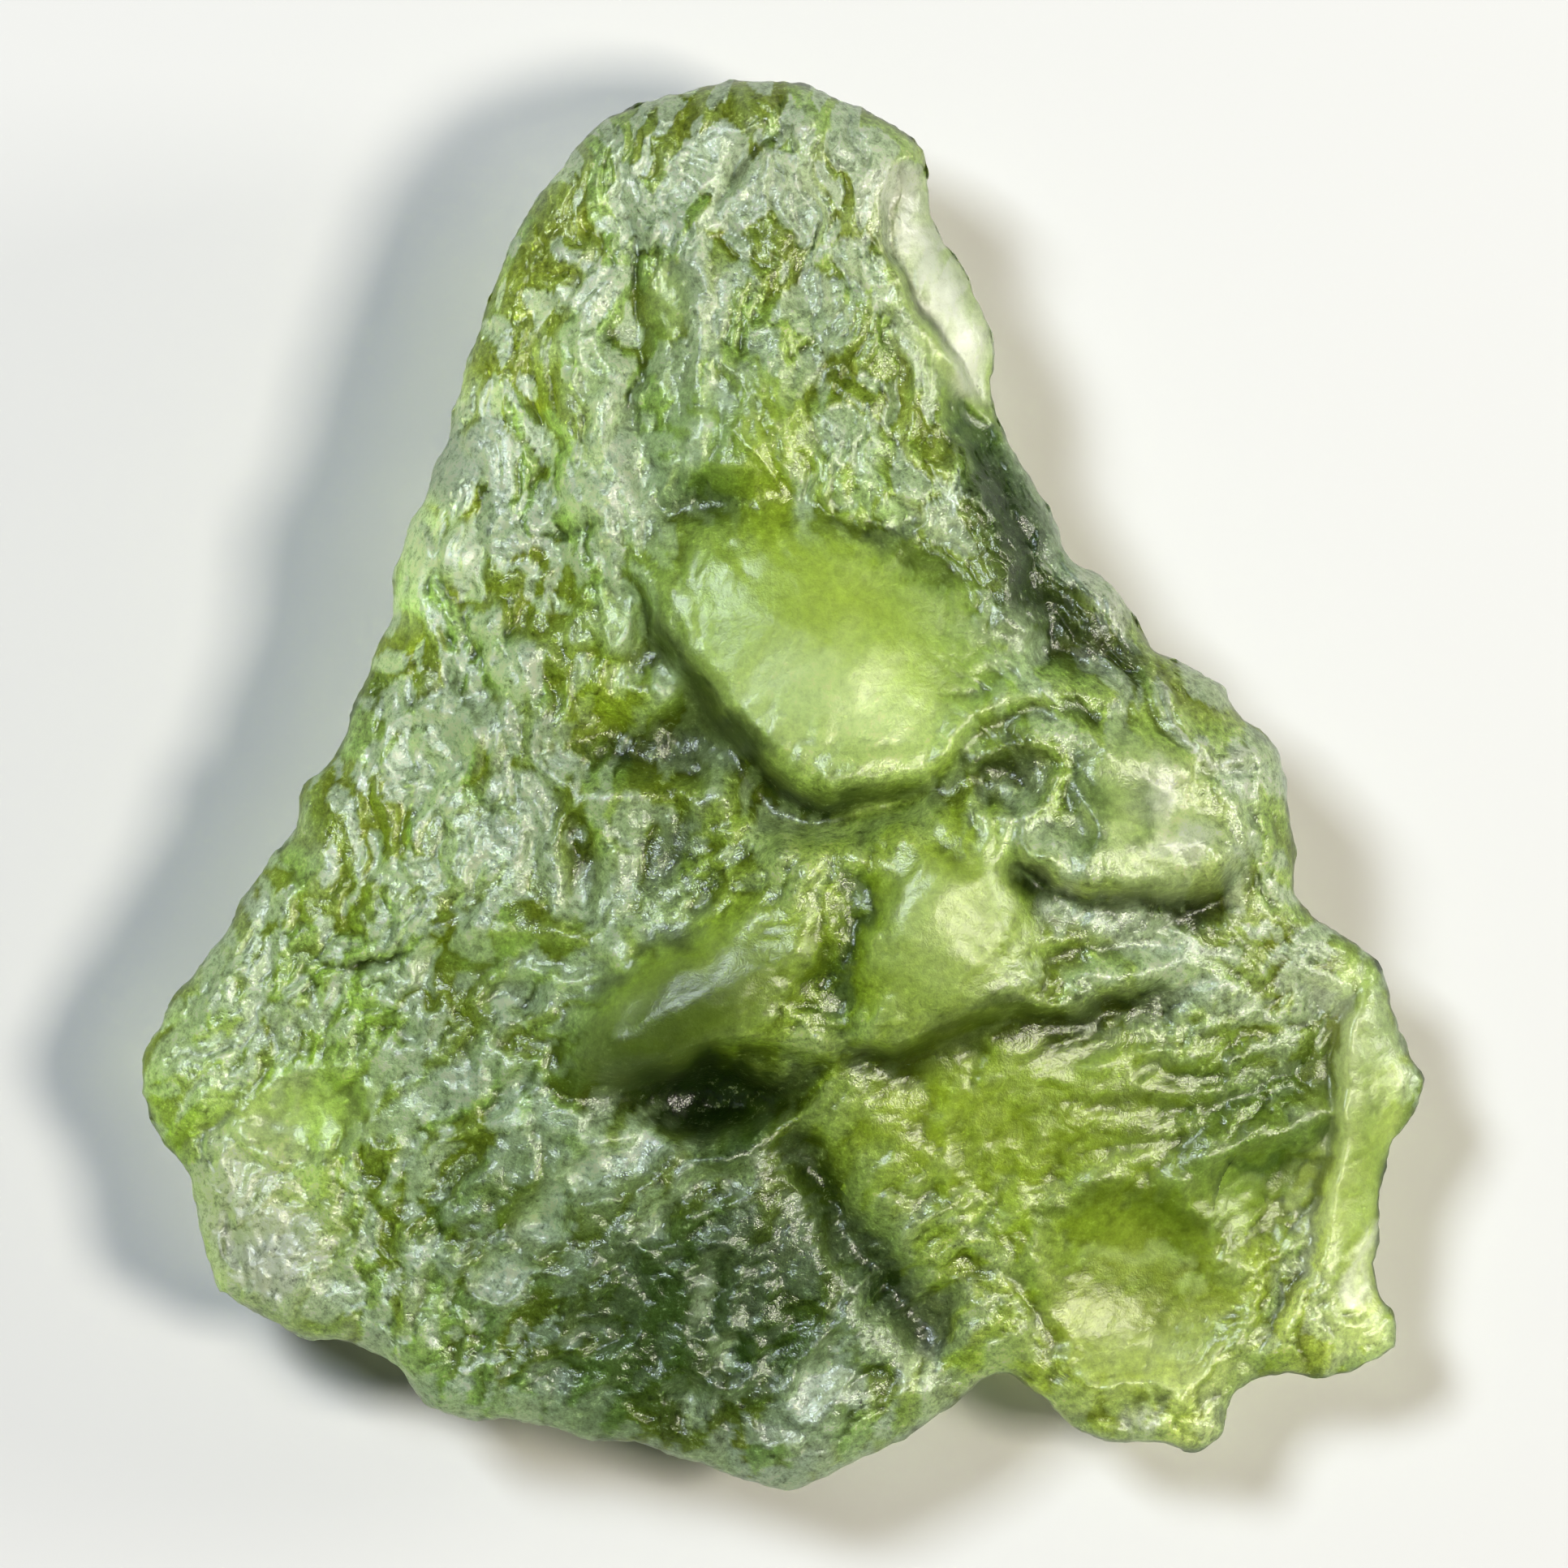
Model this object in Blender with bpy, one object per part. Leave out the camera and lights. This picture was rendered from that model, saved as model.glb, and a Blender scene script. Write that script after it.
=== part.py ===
"""A natural moldavite, a flake of green tektite glass etched into lumps, ledges and cupules.

The stone is one piece of glass. It lies on its back, face up: +Y is its long way, with the narrow
end at +Y, +Z is up, and the origin is on the table under the middle of its box. The face carries
the big lumps and the deep wall under them, the back is flatter, and both are pitted all over. Three
worn bumps on the back are flat where the stone rests.

Lengths below are in millimetres, headings in degrees from +X towards +Y. The mesh is in metres.
"""

import bmesh
import bpy
import numpy as np

MM = 0.001
STONE = "moldavite"

# Driving sizes
STONE_LENGTH = 32.0        # along Y, the size that every other one is drawn to
RIM_ROUND = 1.3            # how far in from the rim the stone reaches its full thickness
LEAST_HALF = 0.35          # least rise of the face over the middle of the stone's thickness
GUIDE_REACH = 2.4          # how far a height guide acts
FLOW_REACH = 2.6           # how far a flow guide acts
BACK_LIFT = 0.4            # height of the back's middle over the table
BACK_CURL = 1.9            # how much higher the back is at the rim
BACK_CURL_REACH = 6.0      # how far in from the rim it curls
FLANK_WARP = 0.45          # share of the warp that the hand-placed forms take

# Mesh
CELLS = 150                # grid cells each way on either side of the stone
KEPT_FACES = 9700          # faces left when the grid is thinned
WELD = 1e-7

# The outline, in four sides that meet at its corners. Left and right run down, top and bottom to +X.
LEFT_SIDE = (
    (-4.2, 15.05), (-5.1, 14.0), (-6.0, 12.7), (-6.65, 11.1), (-7.35, 9.1), (-7.6, 8.0), (-8.15, 6.6),
    (-8.8, 5.1), (-8.9, 3.9), (-9.4, 2.7), (-9.85, 1.6), (-10.2, 0.6), (-10.9, 0.0), (-11.1, -1.0),
    (-11.9, -2.0), (-12.8, -3.5), (-13.95, -5.0), (-14.6, -6.5), (-14.3, -7.7), (-13.6, -8.8),
    (-13.3, -9.7), (-13.2, -10.5), (-12.8, -11.5),
)
BOTTOM_SIDE = (
    (-12.8, -11.5), (-12.1, -11.9), (-11.0, -12.5), (-9.6, -12.75), (-8.75, -13.3), (-8.0, -14.15),
    (-7.0, -14.4), (-5.6, -14.5), (-4.5, -14.85), (-3.4, -14.95), (-1.6, -15.55), (0.0, -16.0),
    (1.4, -15.5), (3.2, -14.5), (4.8, -13.4), (5.6, -13.75), (6.9, -14.8), (8.3, -14.95),
    (9.3, -15.15), (9.9, -14.8), (10.1, -14.0), (10.8, -13.45), (12.4, -13.45), (13.4, -13.1),
    (13.9, -12.8),
)
RIGHT_SIDE = (
    (3.15, 14.4), (3.4, 12.7), (4.1, 11.6), (4.7, 10.1), (4.7, 8.6), (5.2, 7.6), (5.95, 6.3),
    (6.5, 5.15), (7.4, 4.6), (7.9, 3.8), (8.4, 3.05), (9.8, 2.35), (10.2, 1.7), (11.1, 0.9),
    (11.4, -0.4), (11.55, -1.5), (11.6, -2.5), (12.3, -3.2), (13.3, -3.85), (13.75, -4.8),
    (14.1, -6.0), (14.55, -6.7), (14.3, -7.4), (13.65, -8.6), (13.5, -10.0), (13.45, -11.4),
    (13.85, -12.1), (13.9, -12.8),
)
TOP_SIDE = (
    (-4.2, 15.05), (-3.5, 15.35), (-2.5, 15.7), (-1.2, 15.95), (0.2, 15.95), (1.4, 15.5),
    (2.4, 15.05), (3.15, 14.4),
)

# Broad height of the face over the table: x, y, height
FACE_GUIDES = (
    (-1.0, 14.5, 6.0), (-4.5, 12.0, 5.6), (1.5, 13.0, 6.2), (-6.5, 9.0, 5.2), (-2.0, 9.0, 7.6),
    (2.0, 9.5, 7.4), (4.2, 9.3, 5.0), (-8.0, 5.0, 5.0), (-4.5, 5.0, 7.2), (0.0, 5.0, 8.4),
    (3.5, 5.0, 8.1), (5.8, 5.5, 5.4), (-9.5, 1.0, 4.6), (-6.0, 1.0, 6.6), (-2.5, 1.0, 7.2),
    (1.5, 2.0, 8.6), (5.0, 2.0, 8.1), (7.8, 2.6, 5.6), (-12.0, -4.5, 4.2), (-8.0, -3.5, 6.2),
    (-4.0, -3.0, 7.2), (0.0, -3.0, 7.8), (3.5, -3.0, 8.2), (7.5, -0.8, 8.0), (10.6, -1.0, 5.6),
    (-12.0, -8.5, 4.4), (-8.0, -8.0, 6.2), (-4.0, -8.0, 7.0), (0.0, -7.5, 6.8), (4.0, -7.5, 6.0),
    (8.0, -6.5, 5.6), (11.5, -5.0, 4.6), (13.5, -7.0, 3.5), (-10.0, -11.5, 4.4), (-6.0, -11.5, 5.8),
    (-2.0, -11.5, 6.3), (1.5, -12.0, 5.2), (4.5, -11.0, 5.0), (8.0, -11.0, 4.6), (11.5, -10.5, 3.8),
    (13.0, -12.0, 3.1), (-5.0, -14.0, 4.0), (0.0, -15.0, 4.0), (8.0, -14.4, 3.6),
)

# Heading of the flow lines that the etching follows: x, y, heading
FLOW_GUIDES = (
    (-1.0, 13.0, 85.0), (-4.5, 10.0, 78.0), (2.0, 10.0, 95.0), (-6.5, 6.0, 95.0), (-3.2, 7.0, 108.0),
    (-0.5, 6.8, 112.0), (5.8, 5.0, 118.0), (-8.5, 1.0, 100.0), (-5.0, 0.0, 100.0), (2.0, 3.0, 20.0),
    (7.5, 2.0, 140.0), (7.8, -0.8, 106.0), (-11.5, -4.5, 60.0), (-8.0, -6.5, 42.0), (-6.0, -7.0, 45.0),
    (-3.8, -8.4, 26.0), (-2.8, -9.6, 75.0), (-2.0, -12.0, 88.0), (0.8, -13.0, 64.0), (-5.5, -10.0, 60.0),
    (-10.0, -10.0, 80.0), (-2.0, -5.0, 25.0), (3.2, -3.2, 57.0), (7.5, -3.4, 165.0), (4.0, -7.0, 95.0),
    (9.5, -6.8, 12.0), (6.5, -8.2, 15.0), (7.5, -11.0, 75.0), (9.3, -8.6, 35.0), (12.5, -7.0, 70.0),
    (12.0, -11.5, 60.0), (3.5, -10.5, 60.0),
)

# Flat-topped masses: height, flank width, heading of the side that dies out, share lost there, outline
BOSSES = (
    # the big smooth lump
    (1.2, 1.5, 35.0, 0.9, (
        (-3.1, 4.5), (-2.6, 3.0), (-1.7, 2.0), (-1.2, 1.0), (-0.4, 0.45), (0.4, -0.05), (1.4, -0.35),
        (2.6, -0.15), (3.8, 0.9), (5.0, 2.4), (4.9, 4.4), (3.2, 5.6), (1.3, 5.8), (-0.7, 5.75),
        (-2.2, 5.3))),
    # the middle mass, a finger-like lump on its left and a round one on its right
    (0.95, 1.3, 0.0, 0.0, (
        (-4.75, -5.4), (-4.35, -6.5), (-3.5, -6.75), (-2.4, -6.3), (-1.0, -5.8), (0.6, -5.7), (1.6, -5.8),
        (3.0, -6.0), (3.9, -5.5), (5.0, -5.2), (5.6, -4.2), (5.2, -2.6), (4.8, -1.2), (3.9, -0.5),
        (2.4, -0.65), (1.0, -1.1), (-0.5, -1.4), (-1.0, -2.4), (-1.9, -3.4), (-3.0, -3.9), (-4.0, -4.4))),
    # the striped lump on the right
    (0.7, 1.1, 0.0, 0.0, (
        (4.6, -1.2), (5.9, -2.0), (7.2, -2.5), (8.6, -2.6), (9.9, -2.1), (10.2, -0.8), (9.5, 0.3),
        (8.2, 0.8), (6.8, 1.1), (5.2, 1.0), (4.4, 0.2))),
)

# Ledges, high on the left of their path: height, step width, reach, depth below, its reach, path
LEDGES = (
    # wall on the lower left of the big smooth lump
    (0.3, 0.6, 1.2, 0.9, 1.1, (
        (-3.5, 5.2), (-2.8, 3.3), (-1.9, 2.1), (-1.2, 1.1), (-0.4, 0.4), (0.5, -0.1), (1.5, -0.35),
        (2.7, -0.1), (4.0, 0.7))),
    # deep wall under the finger-like lump
    (0.6, 0.5, 1.5, 0.3, 1.0, (
        (-4.6, -6.7), (-3.5, -6.75), (-2.4, -6.25), (-1.0, -5.75), (0.5, -6.0), (1.3, -6.6))),
    # step from the middle mass down to the plain on the lower right
    (0.8, 0.55, 1.4, 0.4, 0.9, (
        (0.8, -5.4), (2.0, -5.9), (3.0, -6.0), (3.9, -5.5), (5.0, -5.2), (6.2, -5.1), (7.4, -4.8),
        (8.4, -4.35), (9.6, -3.7))),
    # foot of the striped lump
    (0.75, 0.6, 1.5, 0.5, 0.8, (
        (4.8, -1.3), (5.9, -2.05), (7.2, -2.5), (8.6, -2.6), (9.8, -2.2), (10.5, -1.2))),
    # crest over the steep upper right slope
    (0.35, 0.9, 1.4, 0.7, 1.8, (
        (8.6, 1.9), (7.0, 2.3), (5.6, 2.9), (5.4, 4.2), (4.8, 6.0), (4.0, 7.9), (3.0, 9.6))),
    # crest over the glossy chip on the upper right rim
    (0.25, 0.3, 1.0, 0.8, 2.4, (
        (4.7, 8.3), (4.2, 9.3), (3.4, 10.2), (2.7, 11.3), (2.3, 12.6), (2.6, 14.4))),
    # edge of the plain over the thin fins on the right
    (0.3, 0.4, 1.3, 0.4, 1.6, (
        (13.5, -4.0), (12.8, -5.4), (12.4, -6.8), (12.45, -8.2), (12.3, -9.6), (12.0, -11.0),
        (11.2, -12.2), (10.4, -13.5))),
)

# Rounded ridges, and furrows where the height is negative: height, half width, path
RIDGES = (
    (0.35, 0.4, ((-5.4, -0.3), (-3.5, -0.15), (-1.0, -0.1))),
    (-0.8, 0.5, ((-1.0, 0.2), (0.2, -0.85), (1.2, -0.9), (3.4, -0.25))),
    (0.4, 0.4, ((-0.8, -1.6), (0.6, -1.35), (1.8, -0.95), (3.8, -0.55))),
    (-0.75, 0.5, ((1.9, -1.7), (1.5, -3.0), (1.05, -4.3), (0.8, -5.8))),
    (-0.45, 0.3, ((5.2, -4.1), (6.5, -3.9), (8.2, -3.6), (9.4, -3.9))),
    (0.26, 0.2, ((8.3, 2.8), (8.9, 1.8), (9.35, 0.9), (9.8, 0.6), (11.0, 0.6))),
    (0.35, 0.35, ((3.3, 0.0), (3.9, 1.3), (5.0, 1.9), (6.8, 2.1))),
    (0.35, 0.4, ((5.0, 1.2), (6.5, 1.1), (8.2, 0.8), (9.4, 0.2))),
    (-0.45, 0.35, ((-3.6, 14.0), (-3.4, 10.5), (-3.3, 8.0), (-2.7, 5.4))),
    (-0.3, 0.28, ((-1.6, 13.4), (-0.9, 14.4), (0.2, 14.9))),
    (0.35, 0.38, ((-1.9, 13.6), (-1.9, 11.0), (-2.0, 8.6), (-2.4, 6.8))),
    (-0.35, 0.35, ((0.6, 14.2), (0.5, 11.0), (0.9, 8.0))),
    (-0.3, 0.28, ((2.3, 10.8), (2.45, 8.6), (2.4, 6.8))),
    (-0.35, 0.4, ((-5.4, 11.8), (-5.6, 9.0), (-5.4, 6.0), (-4.8, 3.0))),
    (0.3, 0.4, ((-8.8, -3.4), (-6.4, -3.3), (-4.2, -3.4), (-3.2, -4.2))),
    (-1.15, 0.7, ((0.0, -7.4), (1.0, -9.3), (2.1, -10.9), (3.0, -12.0), (3.6, -13.8))),
    (-0.4, 0.28, ((4.9, -10.8), (5.6, -11.8), (5.9, -12.8), (6.0, -13.8))),
    (0.5, 0.45, ((8.3, -9.3), (9.8, -8.2), (10.6, -7.8), (11.6, -7.6), (12.6, -6.7))),
)

# Ripples across the plain: the y at x = 9, slope, phase. They run from x = 6 to 12.2.
RIPPLES = ((-6.1, 0.10, 0.0), (-6.9, 0.06, 1.0), (-7.6, 0.12, 2.0), (-8.4, 0.22, 0.5))
RIPPLE_HEIGHT = 0.2
RIPPLE_WIDTH = 0.24
RIPPLE_SWAY = 0.14
RIPPLE_TURNS = 1.7
RIPPLE_MIDDLE = 9.0

# Lumps, and hollows where the height is negative: x, y, half length, half width, heading, height, flatness
LUMPS = (
    (-2.9, 0.8, 1.7, 0.95, -10.0, -1.1, 1.5), (-4.6, -1.9, 1.2, 0.45, 90.0, -0.55, 1.3),
    (-2.5, -1.3, 0.95, 0.9, 60.0, -0.6, 1.3), (-2.2, -4.7, 2.8, 1.1, 26.0, 0.4, 1.5),
    (-1.7, -7.05, 2.1, 0.8, 2.0, -2.1, 1.8), (3.4, -3.5, 2.0, 1.5, 55.0, 0.4, 1.5),
    (7.9, -0.7, 1.9, 1.5, 100.0, 0.3, 1.6), (4.2, 8.0, 1.1, 0.75, 110.0, -0.5, 1.5),
    (-0.6, 8.0, 1.5, 1.1, 70.0, 0.35, 1.5), (-7.3, 5.3, 0.55, 0.55, 0.0, 0.3, 1.3),
    (-6.8, 3.6, 0.5, 0.5, 0.0, 0.3, 1.3), (-5.9, 2.6, 0.55, 0.55, 0.0, 0.35, 1.3),
    (-3.7, 3.5, 0.5, 0.5, 0.0, 0.3, 1.3), (-4.6, 6.4, 0.45, 0.45, 0.0, 0.22, 1.3),
    (-3.7, 6.4, 0.4, 0.4, 0.0, 0.22, 1.3), (-2.9, 2.2, 0.55, 0.55, 0.0, 0.45, 1.3),
    (-5.2, 1.6, 0.5, 0.5, 0.0, 0.35, 1.3), (-7.0, 1.1, 0.5, 0.5, 0.0, 0.3, 1.3),
    (-8.0, 0.9, 0.5, 0.4, 0.0, 0.3, 1.3),
)

# Scallops with a low lip: x, y, half length, half width, heading, depth, lip
BOWLS = (
    (5.1, 0.05, 1.15, 0.75, 20.0, 0.8, 0.12), (6.2, -1.0, 1.2, 0.8, 100.0, 0.3, 0.06),
    (-1.9, 6.4, 1.1, 0.75, 10.0, 0.35, 0.06), (-8.0, 0.8, 0.95, 0.85, 0.0, 0.3, 0.1),
    (-9.3, -4.0, 0.8, 0.25, 17.0, 0.35, 0.03), (-6.0, -4.7, 0.9, 0.5, 15.0, 0.4, 0.06),
    (-12.4, -10.2, 0.8, 0.3, 105.0, 0.35, 0.03), (-10.7, -7.5, 1.6, 0.95, 15.0, 0.35, 0.08),
    (-5.5, -9.7, 0.95, 0.7, 50.0, 0.45, 0.08), (-6.3, -10.9, 0.75, 0.55, 50.0, 0.4, 0.08),
    (-3.9, -8.6, 1.5, 0.6, 24.0, 0.45, 0.08), (-2.8, -9.7, 0.8, 0.65, 70.0, 0.4, 0.08),
    (-1.6, -11.5, 1.0, 0.55, 90.0, 0.4, 0.08), (-1.2, -12.9, 0.75, 0.55, 80.0, 0.35, 0.08),
    (0.9, -13.3, 1.3, 0.5, 64.0, 0.4, 0.08), (-2.3, -13.9, 0.75, 0.6, 90.0, 0.35, 0.08),
    (-1.6, -9.0, 1.0, 0.65, 20.0, 0.35, 0.08), (-4.1, -12.2, 0.95, 0.75, 60.0, 0.4, 0.08),
    (-7.3, -8.6, 0.95, 0.6, 45.0, 0.35, 0.08), (-6.2, -6.9, 1.0, 0.4, 42.0, 0.35, 0.08),
    (7.9, -11.5, 2.6, 2.3, -25.0, 1.0, 0.25), (10.9, -9.4, 1.7, 1.3, 50.0, 0.4, 0.08),
    (7.9, -14.2, 1.1, 0.6, 0.0, 0.3, 0.05),
)

# Places with less pitting: x, y, half length, half width, heading, share of the pitting that is lost
SMOOTH_PLACES = (
    (1.2, 3.2, 3.8, 2.6, -15.0, 0.95), (-2.2, -4.6, 3.0, 1.3, 27.0, 0.9), (3.6, -3.2, 2.4, 1.9, 55.0, 0.85),
    (5.5, -7.2, 4.0, 1.6, 5.0, 0.65), (-11.0, -7.4, 2.0, 1.0, 10.0, 0.7), (-1.2, 8.0, 1.6, 1.8, 90.0, 0.6),
    (8.0, -11.4, 2.2, 2.2, 80.0, 0.85), (10.8, -9.2, 1.6, 1.2, 40.0, 0.7), (13.0, -8.5, 1.0, 4.0, 90.0, 0.6),
    (3.6, 10.8, 2.8, 1.0, 105.0, 0.9), (-2.65, 10.9, 1.0, 0.5, 90.0, 0.6), (-5.0, -8.3, 1.2, 0.8, 20.0, 0.3),
    (7.9, -0.9, 2.2, 1.3, 100.0, 0.6), (-6.3, -3.9, 2.0, 0.7, 5.0, 0.4),
)
SMOOTH_FLATNESS = 1.6

# Pitting, coarse and fine: spacing, stretch along the flow, height, seed, share kept on smooth places
FACE_PITTING = ((2.3, 1.3, 0.42, 11, 0.2), (1.1, 1.45, 0.24, 12, 0.0))
BACK_PITTING = ((2.6, 1.25, 0.45, 21, 1.0), (1.2, 1.4, 0.22, 22, 1.0))

# Worn bumps that the stone rests on: x, y, half length, half width, heading, drop, flatness
RESTS = (
    (-7.2, -6.4, 3.4, 2.6, 30.0, 0.95, 1.3),
    (6.8, -6.9, 3.4, 2.6, -20.0, 0.95, 1.3),
    (-0.6, 8.2, 3.0, 2.4, 80.0, 0.95, 1.3),
)


def ease(t):
    """Smooth step from 0 to 1."""
    t = np.clip(t, 0.0, 1.0)
    return t * t * (3.0 - 2.0 * t)


def blend(x, y, guides, reach):
    """Mean of the guides' last values, each weighted by a bell curve of its distance."""
    total = np.full_like(x, 1e-12)
    mixed = np.zeros_like(x)
    for guide_x, guide_y, value in guides:
        weight = np.exp(-((x - guide_x) ** 2 + (y - guide_y) ** 2) / (2.0 * reach ** 2)) + 1e-9
        total += weight
        mixed += weight * value
    return mixed / total


def flow_heading(x, y):
    """Heading of the flow in radians. A heading and its opposite are one, so angles are doubled."""
    doubled = [(gx, gy, 2.0 * np.radians(heading)) for gx, gy, heading in FLOW_GUIDES]
    across = blend(x, y, [(gx, gy, np.sin(angle)) for gx, gy, angle in doubled], FLOW_REACH)
    along = blend(x, y, [(gx, gy, np.cos(angle)) for gx, gy, angle in doubled], FLOW_REACH)
    return 0.5 * np.arctan2(across, along)


def warp(x, y):
    """Bend the plane by some tenths of a millimetre with a few sine waves, as no edge here is ruled."""
    dx = 0.20 * np.sin(1.3 * x + 0.8 * y + 0.5) + 0.12 * np.sin(2.3 * y - 1.9 * x + 1.7)
    dy = 0.20 * np.sin(1.1 * y - 0.9 * x + 2.1) + 0.12 * np.sin(2.6 * x + 1.7 * y + 0.3)
    dx += 0.06 * np.sin(4.1 * x - 3.3 * y) + 0.04 * np.sin(6.3 * y + 5.2 * x + 1.0)
    dy += 0.06 * np.sin(3.7 * x + 4.5 * y + 0.9) + 0.04 * np.sin(6.9 * x - 4.9 * y)
    return x + dx, y + dy


def smooth_curve(points, step=0.15):
    """Catmull-Rom curve through the points, with a sample about every step."""
    given = np.array(points, dtype=float)
    ends = np.vstack([2 * given[0] - given[1], given, 2 * given[-1] - given[-2]])
    stretches = []
    for a, b, c, d in zip(ends[:-3], ends[1:-2], ends[2:-1], ends[3:]):
        count = max(2, int(np.hypot(*(c - b)) / step))
        t = np.linspace(0.0, 1.0, count, endpoint=False)[:, None]
        stretches.append(0.5 * (2 * b + (c - a) * t + (2 * a - 5 * b + 4 * c - d) * t ** 2
                                + (3 * b - a - 3 * c + d) * t ** 3))
    stretches.append(given[-1:])
    return np.vstack(stretches)


def beside_path(x, y, points, margin):
    """Where a path's box and margin reach, the distance to it (positive on its left) and place along it."""
    path = smooth_curve(points, 0.4)
    low = path.min(axis=0) - margin
    high = path.max(axis=0) + margin
    near = (x > low[0]) & (x < high[0]) & (y > low[1]) & (y < high[1])
    px = x[near]
    py = y[near]
    steps = path[1:] - path[:-1]
    lengths = np.hypot(steps[:, 0], steps[:, 1])
    best = np.full_like(px, np.inf)
    side = np.zeros_like(px)
    place = np.zeros_like(px)
    run = 0.0
    for (sx, sy), (ux, uy), length in zip(path, steps / lengths[:, None], lengths):
        t = np.clip((px - sx) * ux + (py - sy) * uy, 0.0, length)
        away = np.hypot(px - sx - t * ux, py - sy - t * uy)
        closer = away < best
        best = np.where(closer, away, best)
        side = np.where(closer, np.sign(ux * (py - sy) - uy * (px - sx)), side)
        place = np.where(closer, run + t, place)
        run += length
    return near, best * side, place / run


def end_fade(place, share=0.16):
    """Die out over a share of the path at either end."""
    return ease(place / share) * ease((1.0 - place) / share)


def add_ridge(z, x, y, height, width, points):
    """Rounded ridge or furrow along a path."""
    near, signed, place = beside_path(x, y, points, 3.0 * width)
    z[near] += height * np.exp(-(signed / width) ** 2) * end_fade(place)


def add_ledge(z, x, y, height, width, reach, pit, pit_reach, points):
    """Step along a path: high ground on its left, a hollow at its foot on the right."""
    near, signed, place = beside_path(x, y, points, 3.0 * max(reach, pit_reach))
    high = ease(signed / width + 0.5) * np.exp(-(signed / reach) ** 2)
    low = ease(0.5 - signed / width) * np.exp(-(signed / pit_reach) ** 2)
    z[near] += (height * high - pit * low) * end_fade(place)


def add_boss(z, x, y, height, width, heading, lost, points):
    """Flat-topped mass inside a closed outline, which loses some of its height towards a heading."""
    near, signed, _ = beside_path(x, y, points + points[:1], width)
    outline = np.array(points)
    centre = outline.mean(axis=0)
    aim = np.array([np.cos(np.radians(heading)), np.sin(np.radians(heading))])
    reach = ((outline - centre) @ aim).max()
    ahead = ((x[near] - centre[0]) * aim[0] + (y[near] - centre[1]) * aim[1]) / reach
    share = 1.0 - lost * ease(0.5 + 0.5 * ahead)
    rise = 0.65 * ease(0.5 + signed / width) + 0.35 * ease(signed / (2.5 * width))
    z[near] += height * share * rise


def ellipse(x, y, centre_x, centre_y, half_length, half_width, heading):
    """Squared distance from an ellipse's centre, 1 on its edge."""
    angle = np.radians(heading)
    u = ((x - centre_x) * np.cos(angle) + (y - centre_y) * np.sin(angle)) / half_length
    v = ((y - centre_y) * np.cos(angle) - (x - centre_x) * np.sin(angle)) / half_width
    return u * u + v * v


def lump(x, y, centre_x, centre_y, half_length, half_width, heading, height, flatness):
    """Rounded lump; more flatness gives a flatter top and a steeper flank."""
    return height * np.exp(-ellipse(x, y, centre_x, centre_y, half_length, half_width, heading) ** flatness)


def bowl(x, y, centre_x, centre_y, half_length, half_width, heading, depth, lip):
    """Scallop with a crisp edge and a low lip round it."""
    squared = ellipse(x, y, centre_x, centre_y, half_length, half_width, heading)
    return lip * np.exp(-((np.sqrt(squared) - 1.0) / 0.2) ** 2) - depth * np.clip(1.0 - squared, 0.0, None)


def cupules(x, y, spacing, stretch, seed):
    """Field of small bowls meeting in crests, about 0 on a bowl's floor and 1 on a crest.

    Each bowl has a seed point, jittered in its cell of a square grid, a size and a heading near the
    flow's. The value is the squared distance to the nearest seed, measured longer across the flow.
    """
    random = np.random.default_rng(seed)
    half_span = 20.0
    spare = 6
    count = int(2.0 * half_span / spacing) + 2 * spare
    cell = np.arange(count) - spare + 0.5
    seed_x = (cell[:, None] + random.uniform(-0.42, 0.42, (count, count))) * spacing - half_span
    seed_y = (cell[None, :] + random.uniform(-0.42, 0.42, (count, count))) * spacing - half_span
    heading = flow_heading(seed_x, seed_y) + random.normal(0.0, 0.22, (count, count))
    size = spacing * random.uniform(0.75, 1.35, (count, count))
    along_x = np.cos(heading) / (size * stretch)
    along_y = np.sin(heading) / (size * stretch)
    narrowing = stretch ** 1.5
    column = np.floor((x + half_span) / spacing).astype(int) + spare
    row = np.floor((y + half_span) / spacing).astype(int) + spare
    nearest = np.full_like(x, np.inf)
    reach = 1 + int(round(0.6 * stretch))
    for i in range(-reach, reach + 1):
        for j in range(-reach, reach + 1):
            cells = (column + i, row + j)
            dx = x - seed_x[cells]
            dy = y - seed_y[cells]
            u = dx * along_x[cells] + dy * along_y[cells]
            v = (dy * along_x[cells] - dx * along_y[cells]) * narrowing
            nearest = np.minimum(nearest, u * u + v * v)
    return np.clip(2.0 * nearest, 0.0, 1.6)


def pitting(x, y):
    """How much of the pitting a place keeps: 1 in full, towards 0 where the glass is smooth."""
    kept = np.ones_like(x)
    for place in SMOOTH_PLACES:
        kept *= 1.0 - lump(x, y, *place, SMOOTH_FLATNESS)
    return kept


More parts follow.
